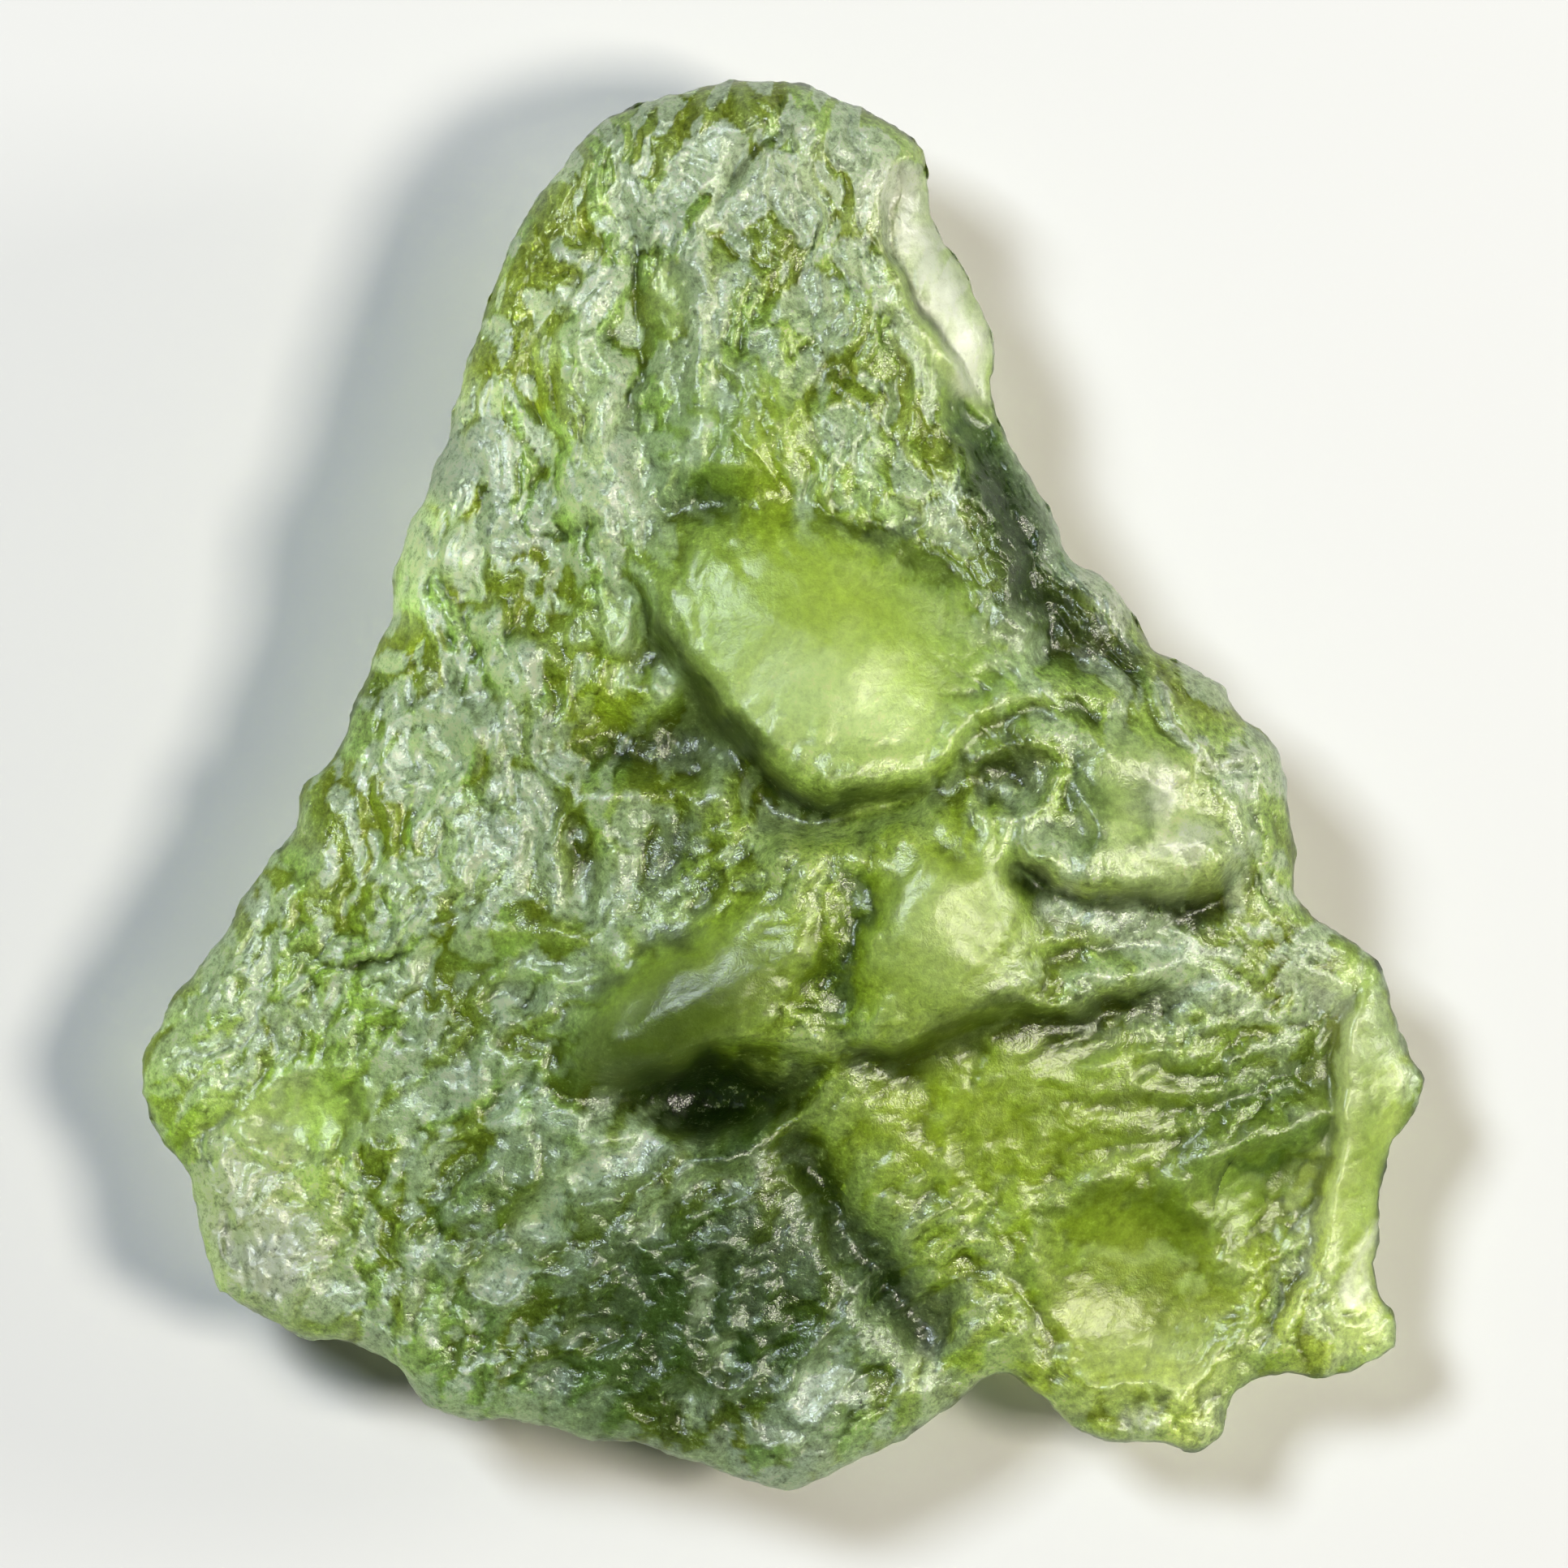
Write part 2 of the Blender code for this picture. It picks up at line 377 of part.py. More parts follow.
def face_height(x, y):
    """Height of the face over the table: broad height, hand-placed forms, ripples, then pitting."""
    z = blend(x, y, FACE_GUIDES, GUIDE_REACH)
    bent_x, bent_y = warp(x, y)
    form_x = x + FLANK_WARP * (bent_x - x)
    form_y = y + FLANK_WARP * (bent_y - y)
    for boss in BOSSES:
        add_boss(z, form_x, form_y, *boss)
    for ledge in LEDGES:
        add_ledge(z, form_x, form_y, *ledge)
    for ridge in RIDGES:
        add_ridge(z, form_x, form_y, *ridge)
    for form in LUMPS:
        z += lump(form_x, form_y, *form)
    for form in BOWLS:
        z += bowl(form_x, form_y, *form)
    ripple_x = np.linspace(6.0, 12.2, 6)
    for middle_y, slope, phase in RIPPLES:
        ripple_y = middle_y + slope * (ripple_x - RIPPLE_MIDDLE)
        ripple_y = ripple_y + RIPPLE_SWAY * np.sin(RIPPLE_TURNS * ripple_x + phase)
        add_ridge(z, x, y, RIPPLE_HEIGHT, RIPPLE_WIDTH, np.column_stack([ripple_x, ripple_y]))
    rough = pitting(x, y)
    for spacing, stretch, height, seed, kept in FACE_PITTING:
        z += height * (cupules(bent_x, bent_y, spacing, stretch, seed) - 0.5) * (kept + (1.0 - kept) * rough)
    return z


def back_base(inset):
    """Broad height of the back over the table, which curls up towards the rim."""
    return BACK_LIFT + BACK_CURL * (1.0 - ease(inset / BACK_CURL_REACH))


def back_height(x, y, inset):
    """Height of the back over the table: its base, pitting and the three bumps that it rests on."""
    z = back_base(inset)
    bent_x, bent_y = warp(x, y)
    for spacing, stretch, height, seed, _ in BACK_PITTING:
        z -= height * (cupules(bent_x, bent_y, spacing, stretch, seed) - 0.5)
    for rest in RESTS:
        z -= lump(x, y, *rest)
    return z


def side_points(points, share):
    """Points on a side of the outline at shares of its length."""
    curve = smooth_curve(points)
    run = np.concatenate([[0.0], np.cumsum(np.hypot(*np.diff(curve, axis=0).T))])
    place = share * run[-1]
    return np.stack([np.interp(place, run, curve[:, 0]), np.interp(place, run, curve[:, 1])], axis=-1)


def outline_patch(u, v):
    """Coons patch: fill the four sides so that the square's edges land on the outline.

    The two blends between opposite sides are added, and the blend of the four corners is taken off.
    """
    bottom = side_points(BOTTOM_SIDE, u)
    top = side_points(TOP_SIDE, u)
    left = side_points(LEFT_SIDE, 1.0 - v)
    right = side_points(RIGHT_SIDE, 1.0 - v)
    u = u[:, None]
    v = v[:, None]
    low_left, low_right = np.array(BOTTOM_SIDE[0]), np.array(BOTTOM_SIDE[-1])
    high_left, high_right = np.array(TOP_SIDE[0]), np.array(TOP_SIDE[-1])
    corners = (1 - v) * ((1 - u) * low_left + u * low_right) + v * ((1 - u) * high_left + u * high_right)
    patch = (1 - v) * bottom + v * top + (1 - u) * left + u * right - corners
    return patch[:, 0], patch[:, 1]


def distance_to_rim(x, y):
    """Distance from each point to the outline."""
    sides = [smooth_curve(side, 0.3) for side in (LEFT_SIDE, BOTTOM_SIDE, RIGHT_SIDE, TOP_SIDE)]
    nearest = np.full_like(x, np.inf)
    for side in sides:
        for (ax, ay), (bx, by) in zip(side[:-1], side[1:]):
            ux = bx - ax
            uy = by - ay
            t = np.clip(((x - ax) * ux + (y - ay) * uy) / (ux * ux + uy * uy), 0.0, 1.0)
            nearest = np.minimum(nearest, (x - ax - t * ux) ** 2 + (y - ay - t * uy) ** 2)
    return np.sqrt(nearest)


def stone_points(u, v, is_face):
    """Places of the grid's points on the stone: u and v run over the outline, on the face or the back."""
    x, y = outline_patch(u, v)
    on_rim = (np.minimum(u, 1.0 - u) < WELD) | (np.minimum(v, 1.0 - v) < WELD)
    inset = np.where(on_rim, 0.0, distance_to_rim(x, y))
    middle = 0.5 * (blend(x, y, FACE_GUIDES, GUIDE_REACH) + back_base(inset))
    swell = np.sqrt(1.0 - (1.0 - np.clip(inset / RIM_ROUND, 0.0, 1.0)) ** 2)
    face = middle + (np.maximum(face_height(x, y), middle + LEAST_HALF) - middle) * swell
    back = middle + (np.minimum(back_height(x, y, inset), middle - LEAST_HALF) - middle) * swell
    return np.column_stack([x, y, np.where(is_face, face, back)])


def make_glass():
    """Clear green tektite glass with an etched surface."""
    glass = bpy.data.materials.new("moldavite_glass")
    glass.use_nodes = True
    shader = glass.node_tree.nodes["Principled BSDF"]
    shader.inputs["Base Color"].default_value = (0.36, 0.52, 0.13, 1.0)
    shader.inputs["Roughness"].default_value = 0.2
    shader.inputs["Metallic"].default_value = 0.0
    shader.inputs["IOR"].default_value = 1.49
    shader.inputs["Transmission Weight"].default_value = 0.9
    glass.diffuse_color = (0.36, 0.52, 0.13, 1.0)
    return glass


def make_sheets():
    """Two grids, one for the face and one for the back, moved to their places and welded at the rim."""
    mesh = bpy.data.meshes.new(STONE)
    sheets = bmesh.new()
    for _ in ("face", "back"):
        bmesh.ops.create_grid(sheets, x_segments=CELLS, y_segments=CELLS, size=1.0)
    sheets.to_mesh(mesh)
    sheets.free()
    count = len(mesh.vertices)
    flat = np.empty(3 * count, dtype=np.float64)
    mesh.vertices.foreach_get("co", flat)
    u = 0.5 * (flat[0::3] + 1.0)
    v = 0.5 * (flat[1::3] + 1.0)
    is_face = np.arange(count) < count // 2
    points = stone_points(u, v, is_face)
    points *= STONE_LENGTH / np.ptp(points[:, 1]) * MM
    mesh.vertices.foreach_set("co", points.ravel())
    welded = bmesh.new()
    welded.from_mesh(mesh)
    bmesh.ops.remove_doubles(welded, verts=welded.verts, dist=WELD)
    bmesh.ops.recalc_face_normals(welded, faces=welded.faces)
    welded.to_mesh(mesh)
    welded.free()
    return mesh


def make_table_cutter(collection):
    """Block whose top is the table, which cuts the resting bumps flat."""
    bpy.ops.mesh.primitive_cube_add(size=1.0)
    cutter = bpy.context.object
    cutter.name = "table_cutter"
    cutter.scale = (0.06, 0.06, 0.01)
    cutter.location = (0.0, 0.0, -0.005)
    cutter.hide_render = True
    cutter.display_type = "WIRE"
    for other in list(cutter.users_collection):
        other.objects.unlink(cutter)
    collection.objects.link(cutter)
    return cutter


def thin_and_cut(mesh, cutter, collection):
    """Thin the grid to few faces, cut the bumps flat and set the result over the origin."""
    rough = bpy.data.objects.new("stone_grid", mesh)
    collection.objects.link(rough)
    thinner = rough.modifiers.new("thin", "DECIMATE")
    thinner.ratio = KEPT_FACES / (4.0 * CELLS * CELLS)
    table = rough.modifiers.new("table", "BOOLEAN")
    table.operation = "DIFFERENCE"
    table.object = cutter
    bpy.context.view_layer.update()
    evaluated = rough.evaluated_get(bpy.context.evaluated_depsgraph_get())
    cut = bpy.data.meshes.new_from_object(evaluated)
    cut.name = STONE
    bpy.data.objects.remove(rough)
    places = np.empty(3 * len(cut.vertices), dtype=np.float64)
    cut.vertices.foreach_get("co", places)
    places = places.reshape(-1, 3)
    places[:, :2] -= 0.5 * (places[:, :2].min(axis=0) + places[:, :2].max(axis=0))
    cut.vertices.foreach_set("co", places.ravel())
    return cut


def build():
    """Empty the scene and build the stone in its own collection."""
    for old in list(bpy.data.objects):
        bpy.data.objects.remove(old)
    stone_collection = bpy.data.collections.new(STONE)
    cutter_collection = bpy.data.collections.new("cutters")
    for collection in (stone_collection, cutter_collection):
        bpy.context.scene.collection.children.link(collection)
    cutter = make_table_cutter(cutter_collection)
    mesh = thin_and_cut(make_sheets(), cutter, cutter_collection)
    mesh.materials.clear()
    mesh.materials.append(make_glass())
    mesh.set_sharp_from_angle(angle=np.radians(40.0))
    stone_collection.objects.link(bpy.data.objects.new(STONE, mesh))


build()
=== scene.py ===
"""A natural moldavite, lying on a pale floor under soft studio light.

The stone is a flake of clear green tektite glass, etched into lumps, ledges, cupules and fine flow
lines. Its surface is two sheets over the same outline, a face and a back, that meet at the rim. The
stone lies on its back and the camera looks down on its face, with the narrow end away from the viewer.

Lengths are in millimetres and headings in degrees from +X towards +Y until the mesh is made, which is
in metres like the frame.
"""

import logging
import math
from dataclasses import dataclass
from enum import Enum

import bpy
import numpy as np
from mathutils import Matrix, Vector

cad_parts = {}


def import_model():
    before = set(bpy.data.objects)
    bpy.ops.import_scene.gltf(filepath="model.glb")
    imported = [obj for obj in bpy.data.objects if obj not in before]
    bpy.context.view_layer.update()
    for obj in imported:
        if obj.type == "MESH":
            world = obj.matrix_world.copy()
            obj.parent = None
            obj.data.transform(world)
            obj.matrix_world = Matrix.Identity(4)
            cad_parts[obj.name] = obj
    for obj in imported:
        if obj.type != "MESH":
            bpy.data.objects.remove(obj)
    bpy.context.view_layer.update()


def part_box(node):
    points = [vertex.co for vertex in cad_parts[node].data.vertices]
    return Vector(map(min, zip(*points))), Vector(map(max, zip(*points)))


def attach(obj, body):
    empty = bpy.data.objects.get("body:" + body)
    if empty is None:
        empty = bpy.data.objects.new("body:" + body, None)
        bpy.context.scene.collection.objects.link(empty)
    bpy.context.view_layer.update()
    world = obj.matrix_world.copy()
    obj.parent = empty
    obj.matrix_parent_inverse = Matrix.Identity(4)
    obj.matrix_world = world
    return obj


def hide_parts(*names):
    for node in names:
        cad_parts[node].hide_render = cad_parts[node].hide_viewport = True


MM = 0.001
STONE = "moldavite"
BODY = "root"
GLASS_SLOT = "moldavite_glass"

# pitting: how fast a bowl rises from its floor, and where its crests are cut off
CREST_SCALE = 2.0
CREST_TOP = 1.6
# facets: the greatest tilt, how crisp the edge of a sheen is, and how far out it reaches
TILT_TOP = 0.6
SHEEN_EDGE = 7.0
SHEEN_REACH = 3.2 / SHEEN_EDGE
# cells: half the width that they cover, spare ones around it, and their disorder
CELLS_HALF_SPAN = 20.0
CELLS_SPARE = 6
CELL_JITTER = 0.42
CELL_TURN = 0.22
CELL_SIZES = (0.75, 1.35)

Array = np.ndarray
Points = tuple[tuple[float, float], ...]
Guides = tuple[tuple[float, float, float], ...]

log = logging.getLogger(STONE)


class Side(Enum):
    """Which sheet of the stone a point is on."""

    FACE = "face"
    BACK = "back"


class Tone(Enum):
    """Colour of the glass's surface, or painted shade, light and highlights on it, as an sRGB hex value."""

    COOL = "#add290"
    WARM = "#cadc56"
    # painted dark shade in hollows, in pits and on walls
    DEEP = "#0d1804"
    # painted soft shade on pit floors, on walls and over darker lobes
    DUSK = "#426030"
    OLIVE = "#979f36"
    MOSS = "#5d6c10"
    # painted cool sheen
    SHEEN = "#f4ffff"
    # painted glow: pools of light, and highlights on crests
    GLOW = "#f2ffc4"
    # painted white highlights on the glossy chip, on rims and on lumps
    FROST = "#ffffff"


def ease(t: Array) -> Array:
    """Smooth step from 0 to 1: three times the square less twice the cube.

    Args:
        t: Values, of which those outside 0 to 1 are clipped.

    Returns:
        The eased values.
    """
    t = np.clip(t, 0.0, 1.0)
    return t * t * (3.0 - 2.0 * t)


def blend(x: Array, y: Array, guides: Guides, reach: float) -> Array:
    """Mean of the guides' values, each weighted by a bell curve of its distance.

    Args:
        x: Places along X.
        y: Places along Y.
        guides: x, y and value of each guide.
        reach: Half width of the bell curve.

    Returns:
        The blended value at each place.
    """
    total = np.full_like(x, 1e-12)
    mixed = np.zeros_like(x)
    for guide_x, guide_y, value in guides:
        weight = np.exp(-((x - guide_x) ** 2 + (y - guide_y) ** 2) / (2.0 * reach ** 2)) + 1e-9
        total += weight
        mixed += weight * value
    return mixed / total


def smooth_curve(points: Points, step: float) -> Array:
    """Catmull-Rom curve through the points: each stretch is the cubic with the neighbours' slopes.

    Args:
        points: Points that the curve passes through.
        step: Distance between samples, about.

    Returns:
        Samples of the curve, one row each.
    """
    given = np.array(points, dtype=float)
    ends = np.vstack([2 * given[0] - given[1], given, 2 * given[-1] - given[-2]])
    stretches = []
    for a, b, c, d in zip(ends[:-3], ends[1:-2], ends[2:-1], ends[3:]):
        count = max(2, int(np.hypot(*(c - b)) / step))
        t = np.linspace(0.0, 1.0, count, endpoint=False)[:, None]
        stretches.append(0.5 * (2 * b + (c - a) * t + (2 * a - 5 * b + 4 * c - d) * t ** 2
                                + (3 * b - a - 3 * c + d) * t ** 3))
    stretches.append(given[-1:])
    return np.vstack(stretches)


def beside_path(x: Array, y: Array, points: Points, margin: float) -> tuple[Array, Array, Array]:
    """Distance to a path and place along it, for the places in the path's box widened by a margin.

    Args:
        x: Places along X.
        y: Places along Y.
        points: Points of the path.
        margin: How far outside the path's box a place still counts.

    Returns:
        Which places count, and for those the distance (positive on the path's left) and the share of
        the path's length.
    """
    path = smooth_curve(points, 0.4)
    low = path.min(axis=0) - margin
    high = path.max(axis=0) + margin
    near = (x > low[0]) & (x < high[0]) & (y > low[1]) & (y < high[1])
    px = x[near]
    py = y[near]
    steps = path[1:] - path[:-1]
    lengths = np.hypot(steps[:, 0], steps[:, 1])
    best = np.full_like(px, np.inf)
    side = np.zeros_like(px)
    place = np.zeros_like(px)
    run = 0.0
    for (sx, sy), (ux, uy), length in zip(path, steps / lengths[:, None], lengths):
        t = np.clip((px - sx) * ux + (py - sy) * uy, 0.0, length)
        away = np.hypot(px - sx - t * ux, py - sy - t * uy)
        closer = away < best
        best = np.where(closer, away, best)
        side = np.where(closer, np.sign(ux * (py - sy) - uy * (px - sx)), side)
        place = np.where(closer, run + t, place)
        run += length
    return near, best * side, place / run


def end_fade(place: Array, share: float = 0.16) -> Array:
    """Weight that dies out over a share of a path at either end.

    Args:
        place: Share of the path's length.
        share: Share over which it dies out.

    Returns:
        The weight, 0 at the ends and 1 between.
    """
    return ease(place / share) * ease((1.0 - place) / share)


def warp(x: Array, y: Array) -> tuple[Array, Array]:
    """Bend the plane by a few tenths of a millimetre, as no edge on an etched stone is ruled.

    The shift each way is a sum of four sine waves of x and y.

    Args:
        x: Places along X.
        y: Places along Y.

    Returns:
        The bent places.
    """
    dx = 0.20 * np.sin(1.3 * x + 0.8 * y + 0.5) + 0.12 * np.sin(2.3 * y - 1.9 * x + 1.7)
    dy = 0.20 * np.sin(1.1 * y - 0.9 * x + 2.1) + 0.12 * np.sin(2.6 * x + 1.7 * y + 0.3)
    dx += 0.06 * np.sin(4.1 * x - 3.3 * y) + 0.04 * np.sin(6.3 * y + 5.2 * x + 1.0)
    dy += 0.06 * np.sin(3.7 * x + 4.5 * y + 0.9) + 0.04 * np.sin(6.9 * x - 4.9 * y)
    return x + dx, y + dy


def ragged(x: Array, y: Array) -> tuple[Array, Array]:
    """Shift the plane by less than a tenth of a millimetre, which chips the rim finely.

    The shift each way is a sum of three sharp waves: sines whose sharpness is a power of their size.

    Args:
        x: Places along X.
        y: Places along Y.

    Returns:
        The shifted places.
    """
    def wave(turns: Array) -> Array:
        """Sine whose peaks are pinched."""
        value = np.sin(turns)
        return np.sign(value) * np.abs(value) ** 1.8

    dx = 0.04 * wave(2.3 * x + 4.1 * y) + 0.02 * wave(7.7 * y - 6.1 * x + 1.0) + 0.01 * wave(17.0 * (x + y))
    dy = 0.04 * wave(3.7 * x - 2.9 * y + 2.0) + 0.02 * wave(6.9 * x + 7.7 * y) + 0.01 * wave(16.0 * (x - y))
    return x + dx, y + dy


@dataclass(frozen=True)
class Oval:
    """A turned ellipse on the face.

    Attributes:
        x: Centre along X.
        y: Centre along Y.
        half_length: Half its length along its heading.
        half_width: Half its width.
        heading: Heading of its length.
    """

    x: float
    y: float
    half_length: float
    half_width: float
    heading: float

    def squared(self, x: Array, y: Array) -> Array:
        """Squared distance from the centre in units of the half axes, so 1 on the edge.

        Args:
            x: Places along X.
            y: Places along Y.

        Returns:
            The squared distance.
        """
        angle = math.radians(self.heading)
        u = ((x - self.x) * math.cos(angle) + (y - self.y) * math.sin(angle)) / self.half_length
        v = ((y - self.y) * math.cos(angle) - (x - self.x) * math.sin(angle)) / self.half_width
        return u * u + v * v


@dataclass(frozen=True)
class Lump(Oval):
    """Rounded lump, or a hollow where its height is negative.

    Attributes:
        height: Height of its middle.
        flatness: Exponent of its bell curve: flatter on top and steeper at the edge as it grows.
    """

    height: float
    flatness: float

    def add(self, z: Array, x: Array, y: Array) -> None:
        """Add the height times a bell curve whose exponent is the flatness."""
        z += self.height * np.exp(-self.squared(x, y) ** self.flatness)


@dataclass(frozen=True)
class Bowl(Oval):
    """Scallop with a crisp edge and a low lip.

    Attributes:
        depth: Depth of its middle.
        lip: Height of the lip.
        lip_width: Width of the lip, in parts of the half axes.
    """

    depth: float
    lip: float
    lip_width: float = 0.2

    def add(self, z: Array, x: Array, y: Array) -> None:
        """Take off a paraboloid inside the oval, and add a bell-shaped lip round its edge."""
        squared = self.squared(x, y)
        z += self.lip * np.exp(-((np.sqrt(squared) - 1.0) / self.lip_width) ** 2)
        z -= self.depth * np.clip(1.0 - squared, 0.0, None)


@dataclass(frozen=True)
class Boss:
    """Flat-topped mass inside a closed outline.

    Attributes:
        height: Height of its top over the ground.
        flank: Width of its flank.
        fade_heading: Heading towards which it gets lower.
        fade_share: Share of its height that it loses there.
        points: Corners of its outline, anticlockwise.
    """

    height: float
    flank: float
    fade_heading: float
    fade_share: float
    points: Points

    def add(self, z: Array, x: Array, y: Array) -> None:
        """Add an eased step over the flank and a gentler dome inside, less towards one heading."""
        near, signed, _ = beside_path(x, y, self.points + self.points[:1], self.flank)
        outline = np.array(self.points)
        centre = outline.mean(axis=0)
        angle = math.radians(self.fade_heading)
        aim = np.array([math.cos(angle), math.sin(angle)])
        reach = ((outline - centre) @ aim).max()
        ahead = ((x[near] - centre[0]) * aim[0] + (y[near] - centre[1]) * aim[1]) / reach
        share = 1.0 - self.fade_share * ease(0.5 + 0.5 * ahead)
        rise = 0.65 * ease(0.5 + signed / self.flank) + 0.35 * ease(signed / (2.5 * self.flank))
        z[near] += self.height * share * rise


@dataclass(frozen=True)
class Ledge:
    """Step along a path, with high ground on its left and a hollow at its foot.

    Attributes:
        height: Rise of the high ground at the path.
        step: Width of the step.
        reach: How far back the rise reaches.
        pit: Depth of the hollow at the path.
        pit_reach: How far out the hollow reaches.
        points: Points of the path.
    """

    height: float
    step: float
    reach: float
    pit: float
    pit_reach: float
    points: Points

    def add(self, z: Array, x: Array, y: Array) -> None:
        """Add an eased step that falls back as a bell curve on both sides of the path."""
        near, signed, place = beside_path(x, y, self.points, 3.0 * max(self.reach, self.pit_reach))
        high = ease(signed / self.step + 0.5) * np.exp(-(signed / self.reach) ** 2)
        low = ease(0.5 - signed / self.step) * np.exp(-(signed / self.pit_reach) ** 2)
        z[near] += (self.height * high - self.pit * low) * end_fade(place)


@dataclass(frozen=True)
class Ridge:
    """Rounded ridge along a path, or a furrow where its height is negative.

    Attributes:
        height: Height of its crest.
        half_width: Distance from the crest at which a good third of the height is left.
        points: Points of the crest.
    """

    height: float
    half_width: float
    points: Points

    def add(self, z: Array, x: Array, y: Array) -> None:
        """Add the height times a bell curve of the distance to the path."""
        near, signed, place = beside_path(x, y, self.points, 3.0 * self.half_width)
        z[near] += self.height * np.exp(-(signed / self.half_width) ** 2) * end_fade(place)


@dataclass(frozen=True)
class Ripples:
    """Low waves across the plain on the lower right.

    Attributes:
        rows: Y at the middle, slope and phase of each row.
        height: Height of a row's crest.
        half_width: Half width of a row.
        sway: How far a row sways from its line.
        turns: Radians of the sway's wave per millimetre along X.
        start: X at which the rows start.
        end: X at which they end.
    """

    rows: Guides
    height: float
    half_width: float
    sway: float
    turns: float
    start: float
    end: float

    def add(self, z: Array, x: Array, y: Array) -> None:
        """Add one ridge a row: a sloping line that sways as a sine wave."""
        middle = 0.5 * (self.start + self.end)
        along = np.linspace(self.start, self.end, 6)
        for middle_y, slope, phase in self.rows:
            across = middle_y + slope * (along - middle) + self.sway * np.sin(self.turns * along + phase)
            Ridge(self.height, self.half_width, tuple(zip(along, across))).add(z, x, y)


@dataclass(frozen=True)
class Flow:
    """Heading of the flow lines that the etching follows.

    Attributes:
        guides: x, y and heading of each guide.
        reach: Reach of a guide.
    """

    guides: Guides
    reach: float

    def heading(self, x: Array, y: Array) -> Array:
        """Blend the guides' headings, doubled first because a heading and its opposite are one.

        Args:
            x: Places along X.
            y: Places along Y.

        Returns:
            The heading in radians.
        """
        sines = tuple((gx, gy, math.sin(2.0 * math.radians(a))) for gx, gy, a in self.guides)
        cosines = tuple((gx, gy, math.cos(2.0 * math.radians(a))) for gx, gy, a in self.guides)
        return 0.5 * np.arctan2(blend(x, y, sines, self.reach), blend(x, y, cosines, self.reach))


@dataclass(frozen=True)
class Cells:
    """Random cells that cover the plane, longer along the flow than across it.

    Attributes:
        spacing: Mean distance between cells.
        stretch: How much longer than the spacing a cell is along the flow.
        height: Height from the lowest to the highest place in a cell.
        seed: Seed of the random places, sizes and headings.
        kept: Share of the height that smooth places keep.
    """

    spacing: float
    stretch: float
    height: float
    seed: int
    kept: float

    def nearest(self, x: Array, y: Array, flow: Flow) -> tuple[Array, Array, Array]:
        """Find each place's cell.

        Each cell's centre is jittered in a square of a grid, and it has its own size and a heading near
        the flow's. A place is in the cell whose centre is nearest, measured shorter along the flow.

        Args:
            x: Places along X.
            y: Places along Y.
            flow: Heading of the flow.

        Returns:
            The squared distance to the centre, a random slope of the cell's floor times the distance up
            it, and a random value of the cell from 0 to 1.
        """
        random = np.random.default_rng(self.seed)
        count = int(2.0 * CELLS_HALF_SPAN / self.spacing) + 2 * CELLS_SPARE
        cell = np.arange(count) - CELLS_SPARE + 0.5
        shape = (count, count)
        shift_x = random.uniform(-CELL_JITTER, CELL_JITTER, shape)
        shift_y = random.uniform(-CELL_JITTER, CELL_JITTER, shape)
        seed_x = (cell[:, None] + shift_x) * self.spacing - CELLS_HALF_SPAN
        seed_y = (cell[None, :] + shift_y) * self.spacing - CELLS_HALF_SPAN
        heading = flow.heading(seed_x, seed_y) + random.normal(0.0, CELL_TURN, shape)
        size = self.spacing * random.uniform(*CELL_SIZES, shape)
        along_x = np.cos(heading) / (size * self.stretch)
        along_y = np.sin(heading) / (size * self.stretch)
        value = random.uniform(0.0, 1.0, shape)
        slope_u = random.normal(0.0, 1.0, shape)
        slope_v = random.normal(0.0, 1.0, shape)
        narrowing = self.stretch ** 1.5
        column = np.floor((x + CELLS_HALF_SPAN) / self.spacing).astype(int) + CELLS_SPARE
        row = np.floor((y + CELLS_HALF_SPAN) / self.spacing).astype(int) + CELLS_SPARE
        squared = np.full_like(x, np.inf)
        uphill = np.zeros_like(x)
        own = np.zeros_like(x)
        reach = 1 + int(round(0.6 * self.stretch))
        for i in range(-reach, reach + 1):
            for j in range(-reach, reach + 1):
                cells = (column + i, row + j)
                dx = x - seed_x[cells]
                dy = y - seed_y[cells]
                u = dx * along_x[cells] + dy * along_y[cells]
                v = (dy * along_x[cells] - dx * along_y[cells]) * narrowing
                distance = u * u + v * v
                closer = distance < squared
                squared = np.where(closer, distance, squared)
                uphill = np.where(closer, slope_u[cells] * u + slope_v[cells] * v, uphill)
                own = np.where(closer, value[cells], own)
        return squared, uphill, own


@dataclass(frozen=True)
class Pitting(Cells):
    """Field of small bowls that meet in crests.

    Where the height is negative it is pebbles that meet in cracks.
    """

    def field(self, x: Array, y: Array, flow: Flow) -> Array:
        """Paraboloids, each cut off where it meets the next one.

        Args:
            x: Places along X.
            y: Places along Y.
            flow: Heading of the flow.

        Returns:
            About 0 on a bowl's floor and 1 on a crest.
        """
        return np.clip(CREST_SCALE * self.nearest(x, y, flow)[0], 0.0, CREST_TOP)


@dataclass(frozen=True)
class Facets(Cells):
    """Field of small flat faces, each tilted its own way, as where thin flakes have come off.

    Attributes:
        lit: Share of the faces that are marked: on the face they take a painted sheen, in the pools the
            olive tone.
    """

    lit: float

    def field(self, x: Array, y: Array, flow: Flow) -> tuple[Array, Array, Array]:
        """Tilted planes, and the mark that each carries.

        Args:
            x: Places along X.
            y: Places along Y.
            flow: Heading of the flow.

        Returns:
            Height of each place over its face's middle in parts of the facets' height, a mark from 0 to 1
            that is full on the lit faces and dies out at their edges, and each face's random value.
        """
        squared, uphill, own = self.nearest(x, y, flow)
        lit = (own < self.lit) * ease(SHEEN_EDGE * (SHEEN_REACH - squared))
        return np.clip(uphill, -TILT_TOP, TILT_TOP), lit, own


